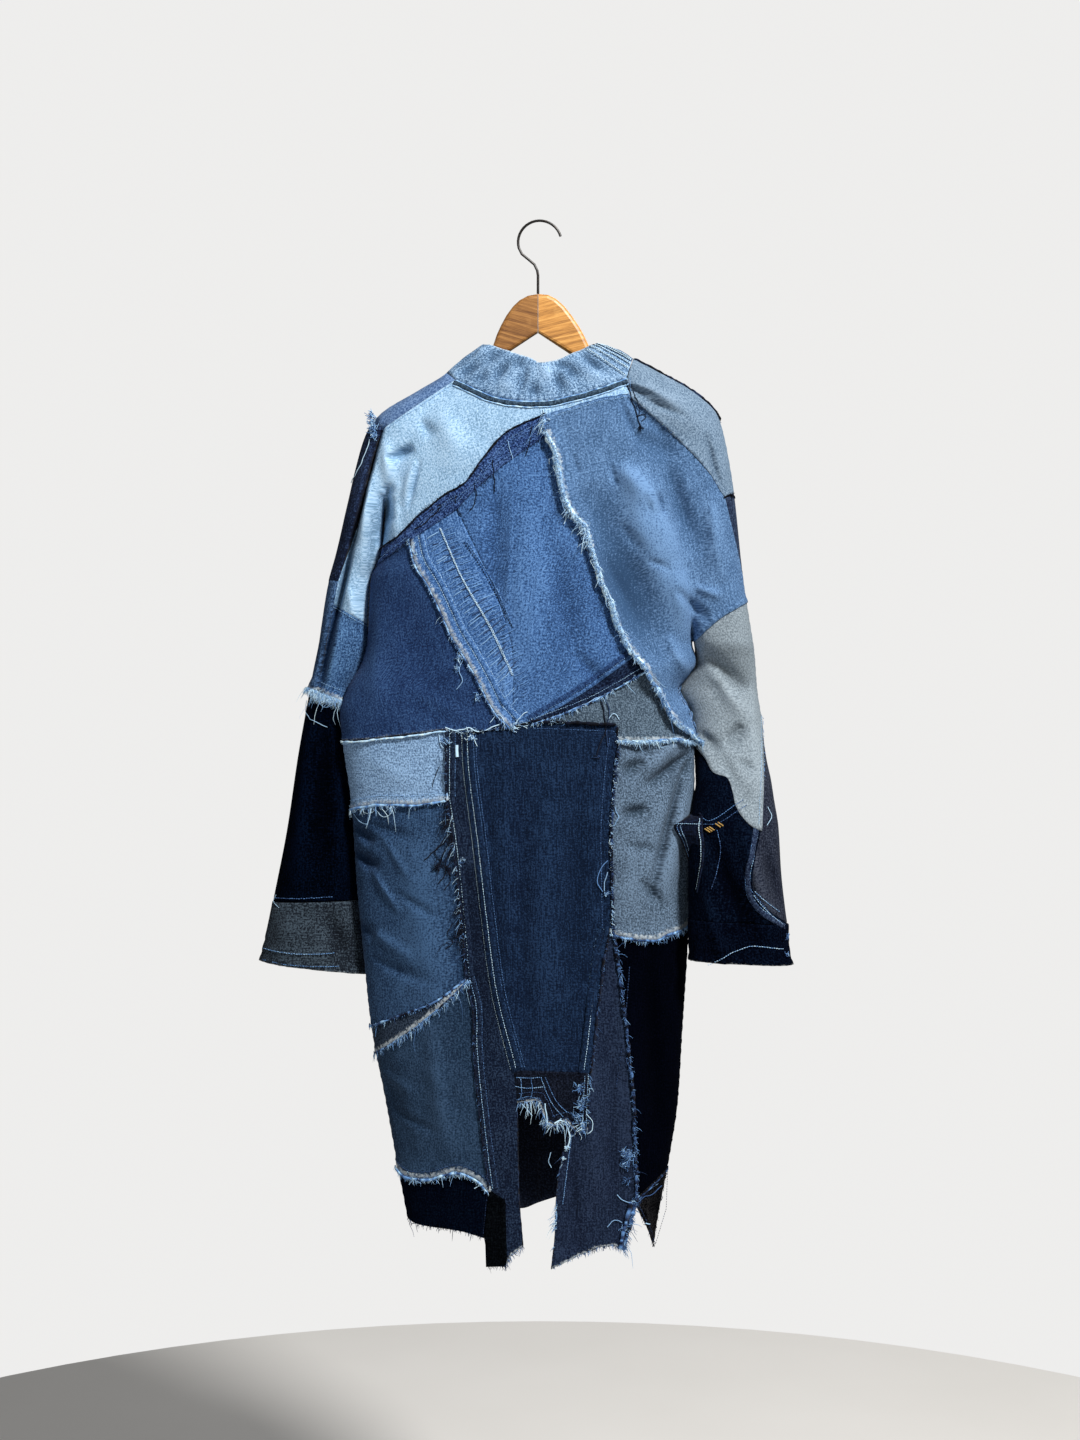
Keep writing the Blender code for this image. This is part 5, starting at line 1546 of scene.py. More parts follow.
# Rolled, felted raw edges: panel, seam, distance in from it, radius, darkest and palest tone.
ROPES = read_rows("""
# panel               seam                  in radius     tones
upper_right           fray_upper             0 3.4    0.66,1
upper_right           fray_strip             0   3  0.6,0.96
upper_right           fray_lower             0 2.8  0.5,0.92
upper_right           band_right             0 1.8  0.4,0.84
upper_right           yoke_over              0 0.8 0.55,0.85
waistband_strip       band_top               0 1.3  0.02,0.2
ladder_strip          ladder_left            0   1  0.3,0.75
indigo_left           waist_left             0 1.3    0.78,1
waist_patch           waist_left             0 1.2 0.02,0.14
centre_lower          waist_indigo           0 1.4 0.02,0.45
centre_lower          waist_centre           0 1.6  0.02,0.3
centre_lower          waist_chambray         0 1.9 0.02,0.16
centre_lower          waist_step             0 1.6 0.02,0.35
waist_chambray        waist_right            0 2.2 0.45,0.92
centre_seam_strip     strip_low              0 1.3   0.3,0.8
waist_patch           patch_foot             0 1.5  0.45,0.8
centre_lower          centre_right           0 1.5 0.02,0.36
centre_lower          centre_right_low       0 1.3  0.02,0.3
side_strip            strip_left_a           0 1.1 0.02,0.22
side_strip            strip_left_b           0   1 0.02,0.22
side_strip            patch_right            0 1.1 0.02,0.22
wedge_strip           wedge_low              0   1   0.2,0.6
skirt_left            wedge_top              0 1.3   0.2,0.7
skirt_left_low        hem_top                0 1.5  0.4,0.85
chambray_right        chambray_foot          0 1.4 0.35,0.75
lower_right           black_left             0 1.9 0.06,0.44
lower_right           lower_right_free       0 2.8  0.1,0.56
lower_right           lower_right_free     4.5 2.6 0.16,0.62
black_right           black_foot             0 0.8   0.1,0.4
pocket_band           pocket_band_low        0 0.8 0.05,0.55
sleeve_left_mid       mid_sleeve_foot        0 1.4 0.45,0.85
sleeve_left_front_mid mid_sleeve_foot_back   0 1.4 0.45,0.85
side_strip            twill_free             0 0.6  0.08,0.3
lower_right           lower_left_free        0 0.6 0.08,0.32
shoulder_right        shoulder_right         0 1.8 0.02,0.24
yoke_left             neck_back            0.6 0.9 0.52,0.78
yoke_left             neck_back            7.4 0.9 0.66,0.86
black_tip             black_foot           1.2 0.6   0.1,0.5
""")

# Yarn ends along raw edges. rate is per mm, stand is how high they start (1 if not given) and
# span is the part of the seam that has them (the whole of it if not given).
FRAYS = read_rows("""
# panel               seam                 rate length     tones spread hang stand      span
upper_right           fray_upper              8 4.4     0.6,1 1.3 0.3 6.5
upper_right           fray_upper            2.6   7    0.74,1 0.8 0.5   5  0.34,0.5
upper_right           fray_strip              7 4.2    0.56,1 1.3 0.3   6
upper_right           fray_lower            6.5   4 0.46,0.96 1.3 0.3 5.5
upper_right           band_right            2.2   6     0.6,1 0.7 0.8   4
waistband_strip       band_top              0.9 3.6 0.02,0.22 0.7 0.2
waistband_strip       band_low_left         0.5   3 0.05,0.35 0.7 0.8
waistband_strip       band_low_centre       0.3   3  0.05,0.4 0.7 0.8
ladder_strip          ladder_left           1.1 3.4 0.35,0.95 0.8 0.4
indigo_left           waist_left            0.4 2.2  0.6,0.95 0.9 0.2
side_strip            waist_strip           0.9   6     0.7,1 0.9 0.5
centre_lower          waist_indigo            1   5     0.6,1 0.9 0.1
centre_lower          waist_centre          1.6   6     0.6,1   1 0.2
centre_lower          waist_chambray        1.3   5    0.55,1   1 0.2   1    0,0.45
centre_lower          waist_chambray        0.8   3  0.05,0.4   1 0.2   1     0.4,1
centre_lower          waist_step              1   4     0.4,1 0.9 0.3
waist_chambray        waist_right             5 4.2    0.66,1 1.1 0.3 3.6
centre_seam_strip     strip_low             0.9 4.2  0.5,0.95 0.8 0.5
waist_patch           patch_foot            1.3 6.5    0.55,1 0.8 0.8   1    0,0.55
waist_patch           patch_foot            0.5   4   0.4,0.9 0.8 0.8   1    0.55,1
centre_lower          centre_right          2.2 4.4  0.02,0.4   1 0.3   2
centre_lower          centre_right          0.7 3.6     0.6,1 1.1 0.4 2.6
centre_lower          centre_right_low        1 3.6  0.05,0.6 0.9 0.4
side_strip            strip_left_a          0.9 4.5  0.05,0.6 0.9 0.7
side_strip            strip_left_a          1.2  15 0.02,0.16 0.8 0.9 2.5 0.05,0.33
side_strip            strip_left_a          1.2  13  0.02,0.2 0.8 0.9 2.5   0.6,0.8
side_strip            strip_left_a          0.3   9   0.5,0.9 0.8 0.9 2.5  0.05,0.8
side_strip            strip_left_b          0.6 3.5   0.1,0.6 0.9 0.6
side_strip            patch_right           0.6 3.5   0.1,0.7 0.9 0.6
wedge_strip           wedge_low             1.4 4.5   0.4,0.9 0.8 0.8
skirt_left            wedge_top             1.1 3.5  0.3,0.85 0.9 0.7
skirt_left_low        hem_top               1.7   5 0.55,0.95 0.9 0.4
chambray_right        chambray_foot         1.4 3.6 0.45,0.85 0.8 0.7
lower_right           black_left            1.8   4  0.12,0.7   1 0.5 2.6
lower_right           lower_right_free      2.4   7  0.2,0.75 0.9 0.6   3
lower_right           lower_foot            1.1 2.4  0.15,0.6 0.7 0.9
lower_right           lower_left_free       0.2   4   0.3,0.9 0.8 0.8   1   0.1,0.9
lower_right           lower_left_free       0.9   8     0.6,1 0.8 0.9   1 0.25,0.42
black_right           black_foot              1   3   0.1,0.7 0.9 0.5
black_tip             tip_edge              0.4 2.2  0.05,0.4 0.8 0.8
pocket_band           pocket_band_low       0.9   6    0.25,1 0.8 0.9
pocket_band           pocket_band_low       0.7  10     0.8,1 0.7   1 1.5  0.3,0.46
pocket_band           pocket_band_low       0.6   9     0.8,1 0.7   1 1.5  0.7,0.95
pocket_band           pocket_band_right     0.5   4  0.4,0.95 0.9 0.7
sleeve_left_mid       mid_sleeve_foot         6  10    0.62,1 0.6 0.1   3
sleeve_left_front_mid mid_sleeve_foot_back    5   8    0.62,1 0.6 0.1   3
hem_left              hem_left              0.7 2.4  0.02,0.3 0.7 0.9
hem_tab               tab_foot              0.8 2.4 0.02,0.35 0.7 0.9
side_strip            twill_foot            1.4 3.4  0.15,0.6 0.7 0.9
shoulder_right        shoulder_right        1.4   4  0.02,0.3 0.9 0.1
shoulder_right        shoulder_curve       0.15   2   0.2,0.6 0.9 0.5
grey_sleeve           grey_right           0.25   3   0.5,0.9 0.9 0.4   1     0.4,1
""")

# Rows of stitches beside seams: panel, seam, distance in from it, pitch, tones.
STITCHES = read_rows("""
# panel           seam                in pitch     tones
upper_right       yoke_over          2.6 2.8  0.7,0.85
waistband_strip   band_low_centre    2.4 2.6 0.54,0.68
waistband_strip   band_low_centre    5.4 2.6 0.48,0.62
waistband_strip   band_top           4.5 2.6  0.54,0.7
waistband_strip   band_top           7.4 2.6  0.5,0.66
waistband_strip   band_top          10.4 2.6  0.46,0.6
waistband_strip   band_low_left        3 2.6  0.6,0.78
ladder_strip      ladder_left          9   3 0.74,0.92
ladder_strip      ladder_left         16   3 0.66,0.88
centre_upper      strip_top            3 2.8  0.6,0.76
centre_upper      strip_top            8 2.8  0.54,0.7
centre_seam_strip strip_low          3.2 2.8 0.66,0.84
centre_lower      centre_right         9   3 0.34,0.52
centre_lower      centre_right_low     8   3 0.74,0.94
centre_lower      centre_right_low    14   3  0.5,0.76
centre_lower      strip_right        3.5   3  0.8,0.96
centre_lower      strip_right       10.5   3  0.44,0.6
centre_lower      strip_right       13.5   3  0.4,0.54
centre_lower      waist_chambray       6 2.8  0.36,0.5
side_strip        strip_right          3 2.6    0.86,1
side_strip        strip_left_a         3   3 0.74,0.96
side_strip        strip_left_b         3   3   0.6,0.9
side_strip        strip_left_b         9   3  0.36,0.6
side_strip        patch_right          3   3 0.74,0.96
side_strip        patch_right        9.5   3 0.46,0.66
waist_patch       patch_foot           7   3  0.6,0.76
pocket_band       pocket_band_right  2.5 2.6   0.6,0.9
pocket_band       pocket_band_right  6.5 2.6   0.5,0.8
pocket_band       pocket_band_low      4 2.8 0.34,0.56
pocket_band       pocket_band_low     11 2.8 0.34,0.56
grey_sleeve       grey_right           3 3.2  0.7,0.84
sleeve_right_dark dark_outer           3   3 0.55,0.85
sleeve_right_dark dark_outer           9   3   0.3,0.6
shoulder_right    neck_corner          3 2.8 0.55,0.75
yoke_left         neck_back          8.4 2.8 0.74,0.88
yoke_left         shoulder_left      2.6 2.8  0.7,0.86
front_left        shoulder_left        3 2.8 0.62,0.82
sleeve_left_mid   mid_sleeve_foot      9   3 0.62,0.78
sleeve_left_mid   yoke_sleeve_foot   2.6 2.8 0.66,0.82
indigo_left       waist_left         3.2 2.6 0.34,0.46
skirt_left_low    hem_top              5   3  0.3,0.44
black_tip         tip_edge           3.4   3  0.12,0.4
hem_left          tab_left             3   3   0.1,0.3
""")

# Stitched lines away from seams, on the back: tube, pitch, tones, points x,z.
STITCHED_LINES = read_rows("""
body  2.1    0.86,1 -119,-372 -93,-431 -59,-491 -33,-547
body  2.1    0.84,1 -118,-372 -92,-431 -58,-490 -32,-546
body  3.4 0.06,0.24 -90,-389 -72,-416 -54,-448 -34,-489
body  3.4  0.5,0.66 -86,-389 -69,-415 -50,-448 -31,-492
body  3.2   0.2,0.4 104,-888 98,-956 88,-1033
body  2.4   0.5,0.7 36,-1085 30,-1130 25,-1170
body  2.4  0.5,0.72 -29,-1017 -14,-1018 0,-1017
body  2.4  0.56,0.8 -30,-1028 -14,-1030 4,-1028
body  2.4  0.4,0.62 -29,-1044 -14,-1040 2,-1046
body    2  0.45,0.7 -24,-1017 -23,-1032 -24,-1044
body    2  0.45,0.7 -12,-1018 -10,-1032 -12,-1042
body  2.4  0.5,0.74 0,-1017 6,-1034 14,-1050 28,-1066
body  2.4 0.44,0.64 5,-1017 12,-1034 20,-1048 32,-1060
left    3 0.34,0.56 -320,-812 -282,-811 -247,-809
left    3 0.56,0.76 -332,-873 -290,-877 -247,-877
left    3 0.44,0.64 -334,-886 -290,-891 -240,-893
right   3 0.62,0.92 196,-884 204,-880 222,-869 246,-862 284,-866
right 2.6 0.66,0.94 248,-802 265,-822 285,-839
right 2.6 0.56,0.86 249,-797 264,-811 280,-823
right   3  0.3,0.56 240,-790 258,-812 272,-830
right 2.6  0.3,0.56 206,-726 210,-750 205,-775 198,-796
right 2.8 0.36,0.58 189,-712 196,-716 206,-712 224,-700 240,-690
right 2.8   0.3,0.5 190,-720 206,-719 226,-707 244,-696
""")

# Loose threads on the cloth: tube, radius, tone, points x,z.
LOOSE = read_rows("""
# hanging from the collar's end
whole 0.6 0.12 101,-196 104,-208 108,-220 112,-234 117,-252
whole 0.5 0.16 108,-200 110,-214 116,-226 114,-240
whole 0.5  0.1 112,-240 124,-238 118,-246
# over the waistband
body  0.5 0.08 -10,-248 -12,-262 -16,-280 -18,-288
body  0.4 0.75 -39,-270 -36,-282 -33,-292
body  0.5 0.06 -57,-292 -56,-304 -54,-322 -55,-331
body  0.5  0.1 -78,-320 -76,-334 -80,-348 -84,-351
body  0.5 0.05 -100,-332 -100,-344 -97,-352 -92,-358
body  0.6 0.05 -132,-352 -118,-345 -138,-366 -150,-372
# loop at the top of the great fray
body  0.5 0.95 2,-232 6,-244 10,-256 4,-262 -1,-254 4,-246
body  0.4 0.85 8,-250 14,-268 18,-290 22,-318
body  0.6 0.92 24,-318 27,-330 25,-345 30,-356 27,-368
body  0.5 0.88 30,-322 33,-338 29,-352 34,-362
# along the ladder strip's left edge
body  0.5  0.9 -148,-388 -152,-396 -146,-404
body  0.5  0.7 -91,-528 -96,-540 -92,-552 -100,-562
# waist, left part
body  0.7 0.82 -236,-626 -205,-622 -170,-618 -130,-612 -110,-609
body  0.7  0.9 -112,-606 -96,-610 -84,-606 -72,-612 -58,-606 -46,-602
body  0.5 0.85 -120,-612 -118,-626 -110,-634
body  0.5 0.92 -88,-606 -80,-618 -74,-628
body  0.5 0.85 -60,-600 -50,-592 -40,-604
body  0.5  0.9 -30,-604 -24,-594 -16,-588
# dark loop over the middle seam
body  0.7 0.14 70,-574 74,-592 76,-606 72,-620 66,-634 64,-640
body  0.6  0.3 74,-572 80,-588 76,-610 78,-628
body  0.6 0.72 -2,-600 14,-596 34,-588 54,-578 70,-570
body  0.5 0.85 80,-596 86,-590 92,-598
# foot of the waist patch
body  0.5 0.92 -214,-700 -206,-708 -196,-704 -200,-696
body  0.5  0.9 -196,-702 -186,-712 -176,-706 -182,-698
body  0.5 0.85 -230,-700 -224,-708 -216,-702
body  0.4 0.75 -226,-706 -214,-718 -204,-722
# dark tangles beside the side strip
body  0.6 0.06 -112,-736 -122,-748 -130,-756 -138,-762
body  0.6  0.1 -112,-740 -124,-752 -118,-764 -128,-774
body  0.6 0.07 -108,-744 -116,-760 -112,-776 -120,-790
body  0.5 0.12 -106,-748 -112,-768 -106,-784 -114,-798
body  0.5  0.1 -104,-836 -110,-848 -104,-858 -112,-866
body  0.4  0.1 -118,-652 -124,-662 -128,-676
# right edge of the centre panel
body  0.5  0.7 86,-700 90,-712 84,-722 78,-716
body  0.6 0.55 78,-762 70,-772 66,-788 72,-800
body  0.5 0.75 78,-776 74,-792 76,-806
# left fringe and the navy sleeve
left  0.4  0.8 -284,-574 -284,-584 -276,-596 -262,-604 -256,-606
left  0.4 0.85 -318,-808 -322,-816 -314,-824
left  0.5  0.9 -202,-265 -207,-280 -214,-297 -220,-306 -226,-314
# right sleeve
whole 0.9 0.06 216,-334 224,-330 232,-331
right 0.4 0.85 266,-700 270,-712 264,-722
body  0.5 0.95 176,-606 184,-612 188,-620 180,-622
body  0.5  0.9 164,-596 174,-604 170,-612 180,-616
# pocket band
body  0.8 0.88 4,-1048 6,-1062 8,-1074
body  0.5 0.85 -22,-1048 -16,-1056 -10,-1062
body  0.9 0.92 16,-1072 24,-1068 30,-1076 34,-1090 32,-1100
body  0.6 0.88 24,-1066 18,-1074 22,-1082
body  0.5  0.9 54,-1060 60,-1068 60,-1080 54,-1084
body  0.4  0.8 12,-1106 8,-1116 12,-1124
# foot of the left skirt and its corner
body  0.6 0.85 -158,-1134 -152,-1142 -156,-1150
body  0.5  0.9 -78,-1150 -68,-1144 -58,-1152
# black corner
body  0.6 0.72 90,-1158 98,-1166 108,-1168 116,-1160
body  0.5  0.7 78,-1196 86,-1188 96,-1192
body  0.6  0.4 114,-1170 120,-1164 131,-1160 143,-1152
body  0.6 0.74 114,-1170 111,-1177 116,-1181
body  0.8  0.8 124,-1194 129,-1196
# pale end of a belt loop in the side seam
body  2.2 0.88 -99,-627 -98,-642
# strands from the great fray
body  0.7 0.98 20,-286 19,-300 23,-312 22,-326
body  0.8 0.96 22,-300 27,-316 26,-332 31,-346 29,-358
body  0.7 0.94 30,-330 36,-342 34,-356 40,-364
""")

# Knots of yarn ends: tube, x, z, size, number of ends, tones.
TUFTS = read_rows("""
# tube    x     z size ends     tones
body  -146  -402 5 14     0.6,1
body  -128  -440 3  8   0.5,0.9
body   -96  -524 6 22     0.5,1
body   -97  -537 5 16   0.4,0.9
body   -72  -556 4 10   0.3,0.9
body   -75  -570 6 18  0.4,0.95
body  -112  -622 6 26     0.4,1
body   -82  -618 6 16     0.6,1
body   -32  -606 6 22     0.6,1
body  -122  -768 7 24 0.02,0.25
body  -108  -772 6 18 0.02,0.25
body   -94  -762 5 14  0.3,0.95
body  -100  -852 6 16  0.02,0.4
body    66  -640 5 14  0.05,0.4
body    78  -800 5 14   0.2,0.8
body     6  -246 6 20     0.6,1
body   180  -616 6 26     0.6,1
left  -203  -233 6 40  0.45,0.9
left  -201  -242 7 46  0.45,0.9
left  -199  -252 7 46  0.4,0.85
left  -197  -260 6 30  0.5,0.95
body   101 -1108 7 60  0.3,0.85
body   100 -1120 7 50   0.3,0.8
body     1 -1070 4 16     0.8,1
body    30 -1100 4 18     0.8,1
body    26 -1112 3 12     0.8,1
body    44 -1028 8 30  0.2,0.85
body    48 -1046 9 34  0.2,0.85
body    42 -1062 9 32  0.2,0.85
body    50 -1076 8 24  0.3,0.95
body   102 -1112 8 36  0.35,0.8
body   100 -1140 6 20  0.15,0.6
body    98 -1200 6 20  0.25,0.8
body   108 -1166 4 12   0.4,0.9
right  288  -852 6 22   0.3,0.8
right  287  -872 5 16   0.3,0.8
whole  118  -252 4 10  0.02,0.2
whole  226  -330 4 14  0.02,0.2
body   -86  -904 4 12   0.3,0.8
""")

# The collar binding is a real folded strip; its dark colour is partly painted shade under the collar's
# foot.
# Folded strips sewn down: name, panel, seam, in from the seam, width, height, cloth.
BANDS = read_rows("""
# name            panel             seam               in width height cloth
collar_binding    yoke_left         neck_back         3.6 5.6 1.7 binding
side_fell_left    side_strip        strip_left_a      5.5 6.5 1.3 side_strip
side_fell_low     side_strip        strip_left_b        6 6.5 1.2 side_strip
side_fell_top     side_strip        patch_right         6   7 1.3 side_strip
centre_fell_left  centre_lower      strip_right         7 7.5 1.6 centre_lower
centre_fell_right centre_lower      centre_right_low 10.5   8 1.5 centre_lower
strip_fell        centre_upper      strip_top         5.4 6.5 1.2 indigo_left
ladder_fell       ladder_strip      ladder_left      12.5 6.5 1.2 ladder_strip
grey_fell         sleeve_right_dark dark_outer          6   7 1.2 sleeve_right_front
""")

WAIST = -625          # height that parts the upper frayed edges from the skirt's
CUFF_TOP = -840       # height below which a stitched line on a sleeve lies on its cuff
LINE_LIFT, CUFF_LIFT = 0.5, 2.4      # how far stitched lines lie off the cloth and the cuffs, mm
LINE_RADIUS = 0.46
BARTACK = (192, 194.5, 197, 204, 207)    # left ends of its threads; the first is at BARTACK_TOP
BARTACK_TOP, BARTACK_RUN, BARTACK_DROP = -725, 6, 4
# Where each kind of trimming starts its random draws.
ROPE_SEED, FRAY_SEED, STITCH_SEED, LINE_SEED, LOOSE_SEED, TUFT_SEED = 100, 300, 500, 600, 700, 800
COLLAR_SEED = 900


def make_trimmings():
    """Everything that is sewn on or frays: rolled edges, yarn ends, stitches and strips."""
    upper, skirt = Threads("frayed_edges_upper"), Threads("frayed_edges_skirt")
    for k, (panel, seam, inset, radius, tones) in enumerate(ROPES):
        where = upper if Seam.known[seam].z.mean() > WAIST else skirt
        rope(where, edge_line(panel, seam, inset), radius, tones, ROPE_SEED + 5 * k)
    for k, (panel, seam, *ends) in enumerate(FRAYS):
        where = upper if Seam.known[seam].z.mean() > WAIST else skirt
        fray(where, PANELS[panel][0], edge_line(panel, seam), FRAY_SEED + k, *ends)
    sewing = Threads("stitches")
    for k, (panel, seam, inset, pitch, tones) in enumerate(STITCHES):
        stitch(sewing, edge_line(panel, seam, inset), pitch, tones, STITCH_SEED + k)
    for k, (tube, pitch, tones, *corners) in enumerate(STITCHED_LINES):
        on_cuff = tube != "body" and corners[0][1] < CUFF_TOP
        line = free_line(TUBES[tube], corners, CUFF_LIFT if on_cuff else LINE_LIFT)
        stitch(sewing, line, pitch, tones, LINE_SEED + k, LINE_RADIUS)
    ladder_bars(sewing)
    stitch_collar(sewing)
    make_pocket_corner(sewing)
    bartack = Threads("bartack", 4, OCHRE)
    for x in BARTACK:
        z = BARTACK_TOP + (x - BARTACK[0]) * 0.5
        path = free_line(right, [(x, z), (x + BARTACK_RUN, z - BARTACK_DROP)], 1.0)
        bartack.add(path.at[None], 0.9, 0.5)
    stray = Threads("loose_threads", 4)
    for k, (tube, radius, tone, *corners) in enumerate(LOOSE):
        loose(stray, TUBES[tube], corners, radius, tone, LOOSE_SEED + 2 * k)
    for k, (tube, x, z, size, count, tones) in enumerate(TUFTS):
        tuft(stray, TUBES[tube], x, z, size, int(count), tones, TUFT_SEED + k)
    for group in (bartack, upper, skirt, sewing, stray):
        group.made()
    for name, panel, seam, inset, width, height, cloth in BANDS:
        band(name, edge_line(panel, seam, inset), width, height, CLOTHS[cloth])


# Worn bars across the ladder strip, from one line to another: the points of both lines, how
# many bars, how far they reach across, their radius and their tones.
LADDER = [
    ([(-137, -384), (-114, -432), (-80, -498), (-48, -562), (-36, -588)],
     [(-119, -374), (-93, -431), (-58, -491), (-33, -547), (-24, -574)],
     42, (0.80, 1.05), (0.5, 1.0), (0.50, 0.72)),
    ([(-117, -374), (-90, -431), (-56, -491), (-31, -547), (-22, -574)],
     [(-99, -368), (-74, -416), (-38, -472), (-20, -516), (-10, -566)],
     44, (0.50, 1.00), (0.5, 0.9), (0.46, 0.66)),
    ([(-130, -386), (-104, -432), (-70, -496), (-42, -556)],
     [(-100, -380), (-76, -420), (-42, -474), (-22, -530)],
     20, (0.30, 0.90), (0.6, 1.0), (0.24, 0.40)),
]


def ladder_bars(threads):
    """Pale and dark bars where the cloth is gathered along the ladder strip's seams."""
    rng = np.random.default_rng(11)
    for start_line, end_line, count, reaches, radii, tones in LADDER:
        first, last = free_line(body, start_line), free_line(body, end_line)
        share = (np.arange(count) + rng.uniform(0.2, 0.8, count)) / count
        start, end = first.pick(share * first.length), last.pick(share * last.length)
        reach = rng.uniform(*reaches, (count, 1, 1))
        shift = rng.uniform(0, 0.12, (count, 1, 1)) * reach
        t = shift + np.linspace(0, 1, 7)[None, :, None] * (reach - shift)
        paths = start[:, None] * (1 - t) + end[:, None] * t
        paths = paths + rng.normal(0, 0.5, (count, 1, 3)) + rng.normal(0, 0.25, paths.shape)
        radius = rng.uniform(*radii, (count, 1)) * np.array((0.4, 0.9, 1, 1, 1, 0.9, 0.4))
        spots = on_cloth(body, paths[..., 0].ravel(), paths[..., 2].ravel(), 0.1).reshape(paths.shape)
        threads.add(spots, radius, rng.uniform(*tones, count))


# Pieces that go all round a sleeve: tube, then top and foot at its outer and its inner edge.
RINGS = {
    "sleeve_left_low": (left, (-556.6, -574.6), (-817, -814)),
    "cuff_left": (left, (-817.3, -814.3), (-888, -904)),
    "cuff_right": (right, (-838.3, -832.3), (-886, -880)),
}
RING_STEP = 3.6       # spacing of their points, mm
CUFF_WALL = 2.0       # thickness of a cuff, mm
CUFF_ROLL, CUFF_STAND, CUFF_LUMPS = 1.6, 1.3, 0.9    # its rolled foot, its height, its lumps, mm
CUFF_ROWS = ((24, 3), (9, 2.2))      # its sunk rows of stitches: height up it, half width, mm
RING_TUCK = 2.6       # how far a lower sleeve's top is tucked in, mm


def sleeve_ring(name):
    """A sleeve's lower part or a cuff, all round, open at both ends."""
    tube, top, foot = RINGS[name]
    height = abs(foot[0] - top[0])
    girth = 2.6 * abs(tube.high(top[0]) - tube.low(top[0]))
    rows, columns = round(height / RING_STEP) + 1, round(girth / RING_STEP)
    side = 1 if tube is left else -1
    turns = np.linspace(-2, 2, columns, endpoint=False)
    across = (np.sin(turns * math.pi / 2) * side + 1) / 2
    t = np.linspace(0, 1, rows)[:, None]
    level = (top[0] + (top[1] - top[0]) * across) * (1 - t)
    level = level + (foot[0] + (foot[1] - foot[0]) * across) * t
    turn = np.broadcast_to(turns, level.shape).ravel()
    level = level.ravel()
    points = place(tube, turn, level)
    out = normal(tube, turn, level)
    from_top = np.repeat(t.ravel() * height, columns)
    from_foot = height - from_top
    cuff = name.startswith("cuff")
    ring_turn = np.tile(np.arange(columns) * girth / columns, rows)
    near = np.minimum(from_top, from_foot) if cuff else from_top
    pucker = np.sin(ring_turn * math.tau / 11 + 2.5 * noise(ring_turn, 0 * ring_turn, 19, 9))
    lift = PUCKER * (1.4 if cuff else 1) * pucker * np.exp(-((near / 8) ** 2))
    if cuff:
        lift += CUFF_ROLL * np.exp(-((from_foot / 5) ** 2)) + CUFF_STAND
        lift += CUFF_LUMPS * noise(ring_turn, from_top, 15, 21)
        lift -= CUFF_LUMPS * sum(
            np.exp(-(((from_foot - up) / half_width) ** 2)) for up, half_width in CUFF_ROWS
        )
    else:
        lift -= RING_TUCK * np.exp(-((from_top / 9) ** 2))
    points = points + out * lift[:, None]
    front = on_front(turn)
    faces = grid_faces(rows, columns, True)
    # stand carries the folds' height, which the denim paints paler on ridges and darker in hollows,
    # partly as painted shade.
    piece = add_cloth(
        name + "_cloth", [CLOTHS[name], INSIDES[name]], points, faces,
        weave_of(tube, points, front, GRAIN.get(name, 0)), CUFF_WALL if cuff else CLOTH,
        raw=(from_foot if cuff else FAR) + 2.5, sewn=near, along=ring_turn,
        stand=folds_at(points[:, 0], points[:, 2], front),
    )
    declare(piece, name, (girth * MM, height * MM), cloth_area(points * MM, faces))


# Top edge of the collar by angle round the neck: 0 mid back, -90 left, 90 right, 180 front.
COLLAR_TOP = read_rows("""
# angle   x   y    z
-180   1  24 -224
-135 -52  19 -186
 -90 -71   0 -147
 -60 -60 -14 -150
 -35 -36 -25 -160
 -10 -11 -31 -169
   0  -1 -32 -174
  12  13 -31 -172
  40  44 -25 -159
  65  67 -14 -149
  90  82   0 -150
 135  56  17 -188
 180   3  24 -224
""")
COLLAR_LIFT = 0.9     # bottom of the collar over the neck seam
COLLAR_SWELL = 1.8    # how far the band bows out half way up
COLLAR_WALL = 2.2     # its thickness
COLLAR_ROWS = 15      # rows of points up it
COLLAR_SPLIT = 58     # angle where the stitched right piece starts
COLLAR_LAP = 0.5      # how far that piece stands off the band's end
NECK_CENTRE = -3      # x of the neck's middle at the back
NECK_WIDE, NECK_DEEP = 108, 36       # half the neck's width and depth
# Hollows and lumps of the collar: angle, share of its height, width across and up, depth.
COLLAR_DENTS = read_rows("""
# angle share across   up depth
-70 0.55 7 0.25 -4.3
-52 0.35 5  0.2 -5.5
-44 0.72 5 0.16 -3.8
-30 0.55 4 0.22 -6.4
-20  0.3 5 0.15  3.2
-12  0.5 3 0.26 -5.8
 -3 0.28 3 0.16 -5.2
  6 0.66 5 0.16  2.9
 13  0.4 3 0.26 -6.4
 24 0.58 4 0.22 -5.2
 33  0.3 4 0.18  2.9
 40 0.62 3 0.25 -5.2
-38 0.28 4 0.12 -4.3
-62  0.8 6 0.12  3.2
 52 0.82 6 0.12  2.3
 19 0.84 4  0.1 -4.3
-20  0.8 5  0.1 -3.8
  2 0.88 4 0.08  2.9
""")


def neck_seam():
    """Neck seam round from mid front by the left, the back and the right to mid front."""
    points = []
    for name in ("neck_front_left", "neck_left", "neck_back", "neck_right", "neck_front_right"):
        at = Seam.known[name].at
        flip = name == "neck_front_left"
        if points:
            flip = np.linalg.norm(at[-1] - points[-1]) < np.linalg.norm(at[0] - points[-1])
        points.extend(list(at[::-1] if flip else at)[1 if points else 0:])
    return np.array(points)


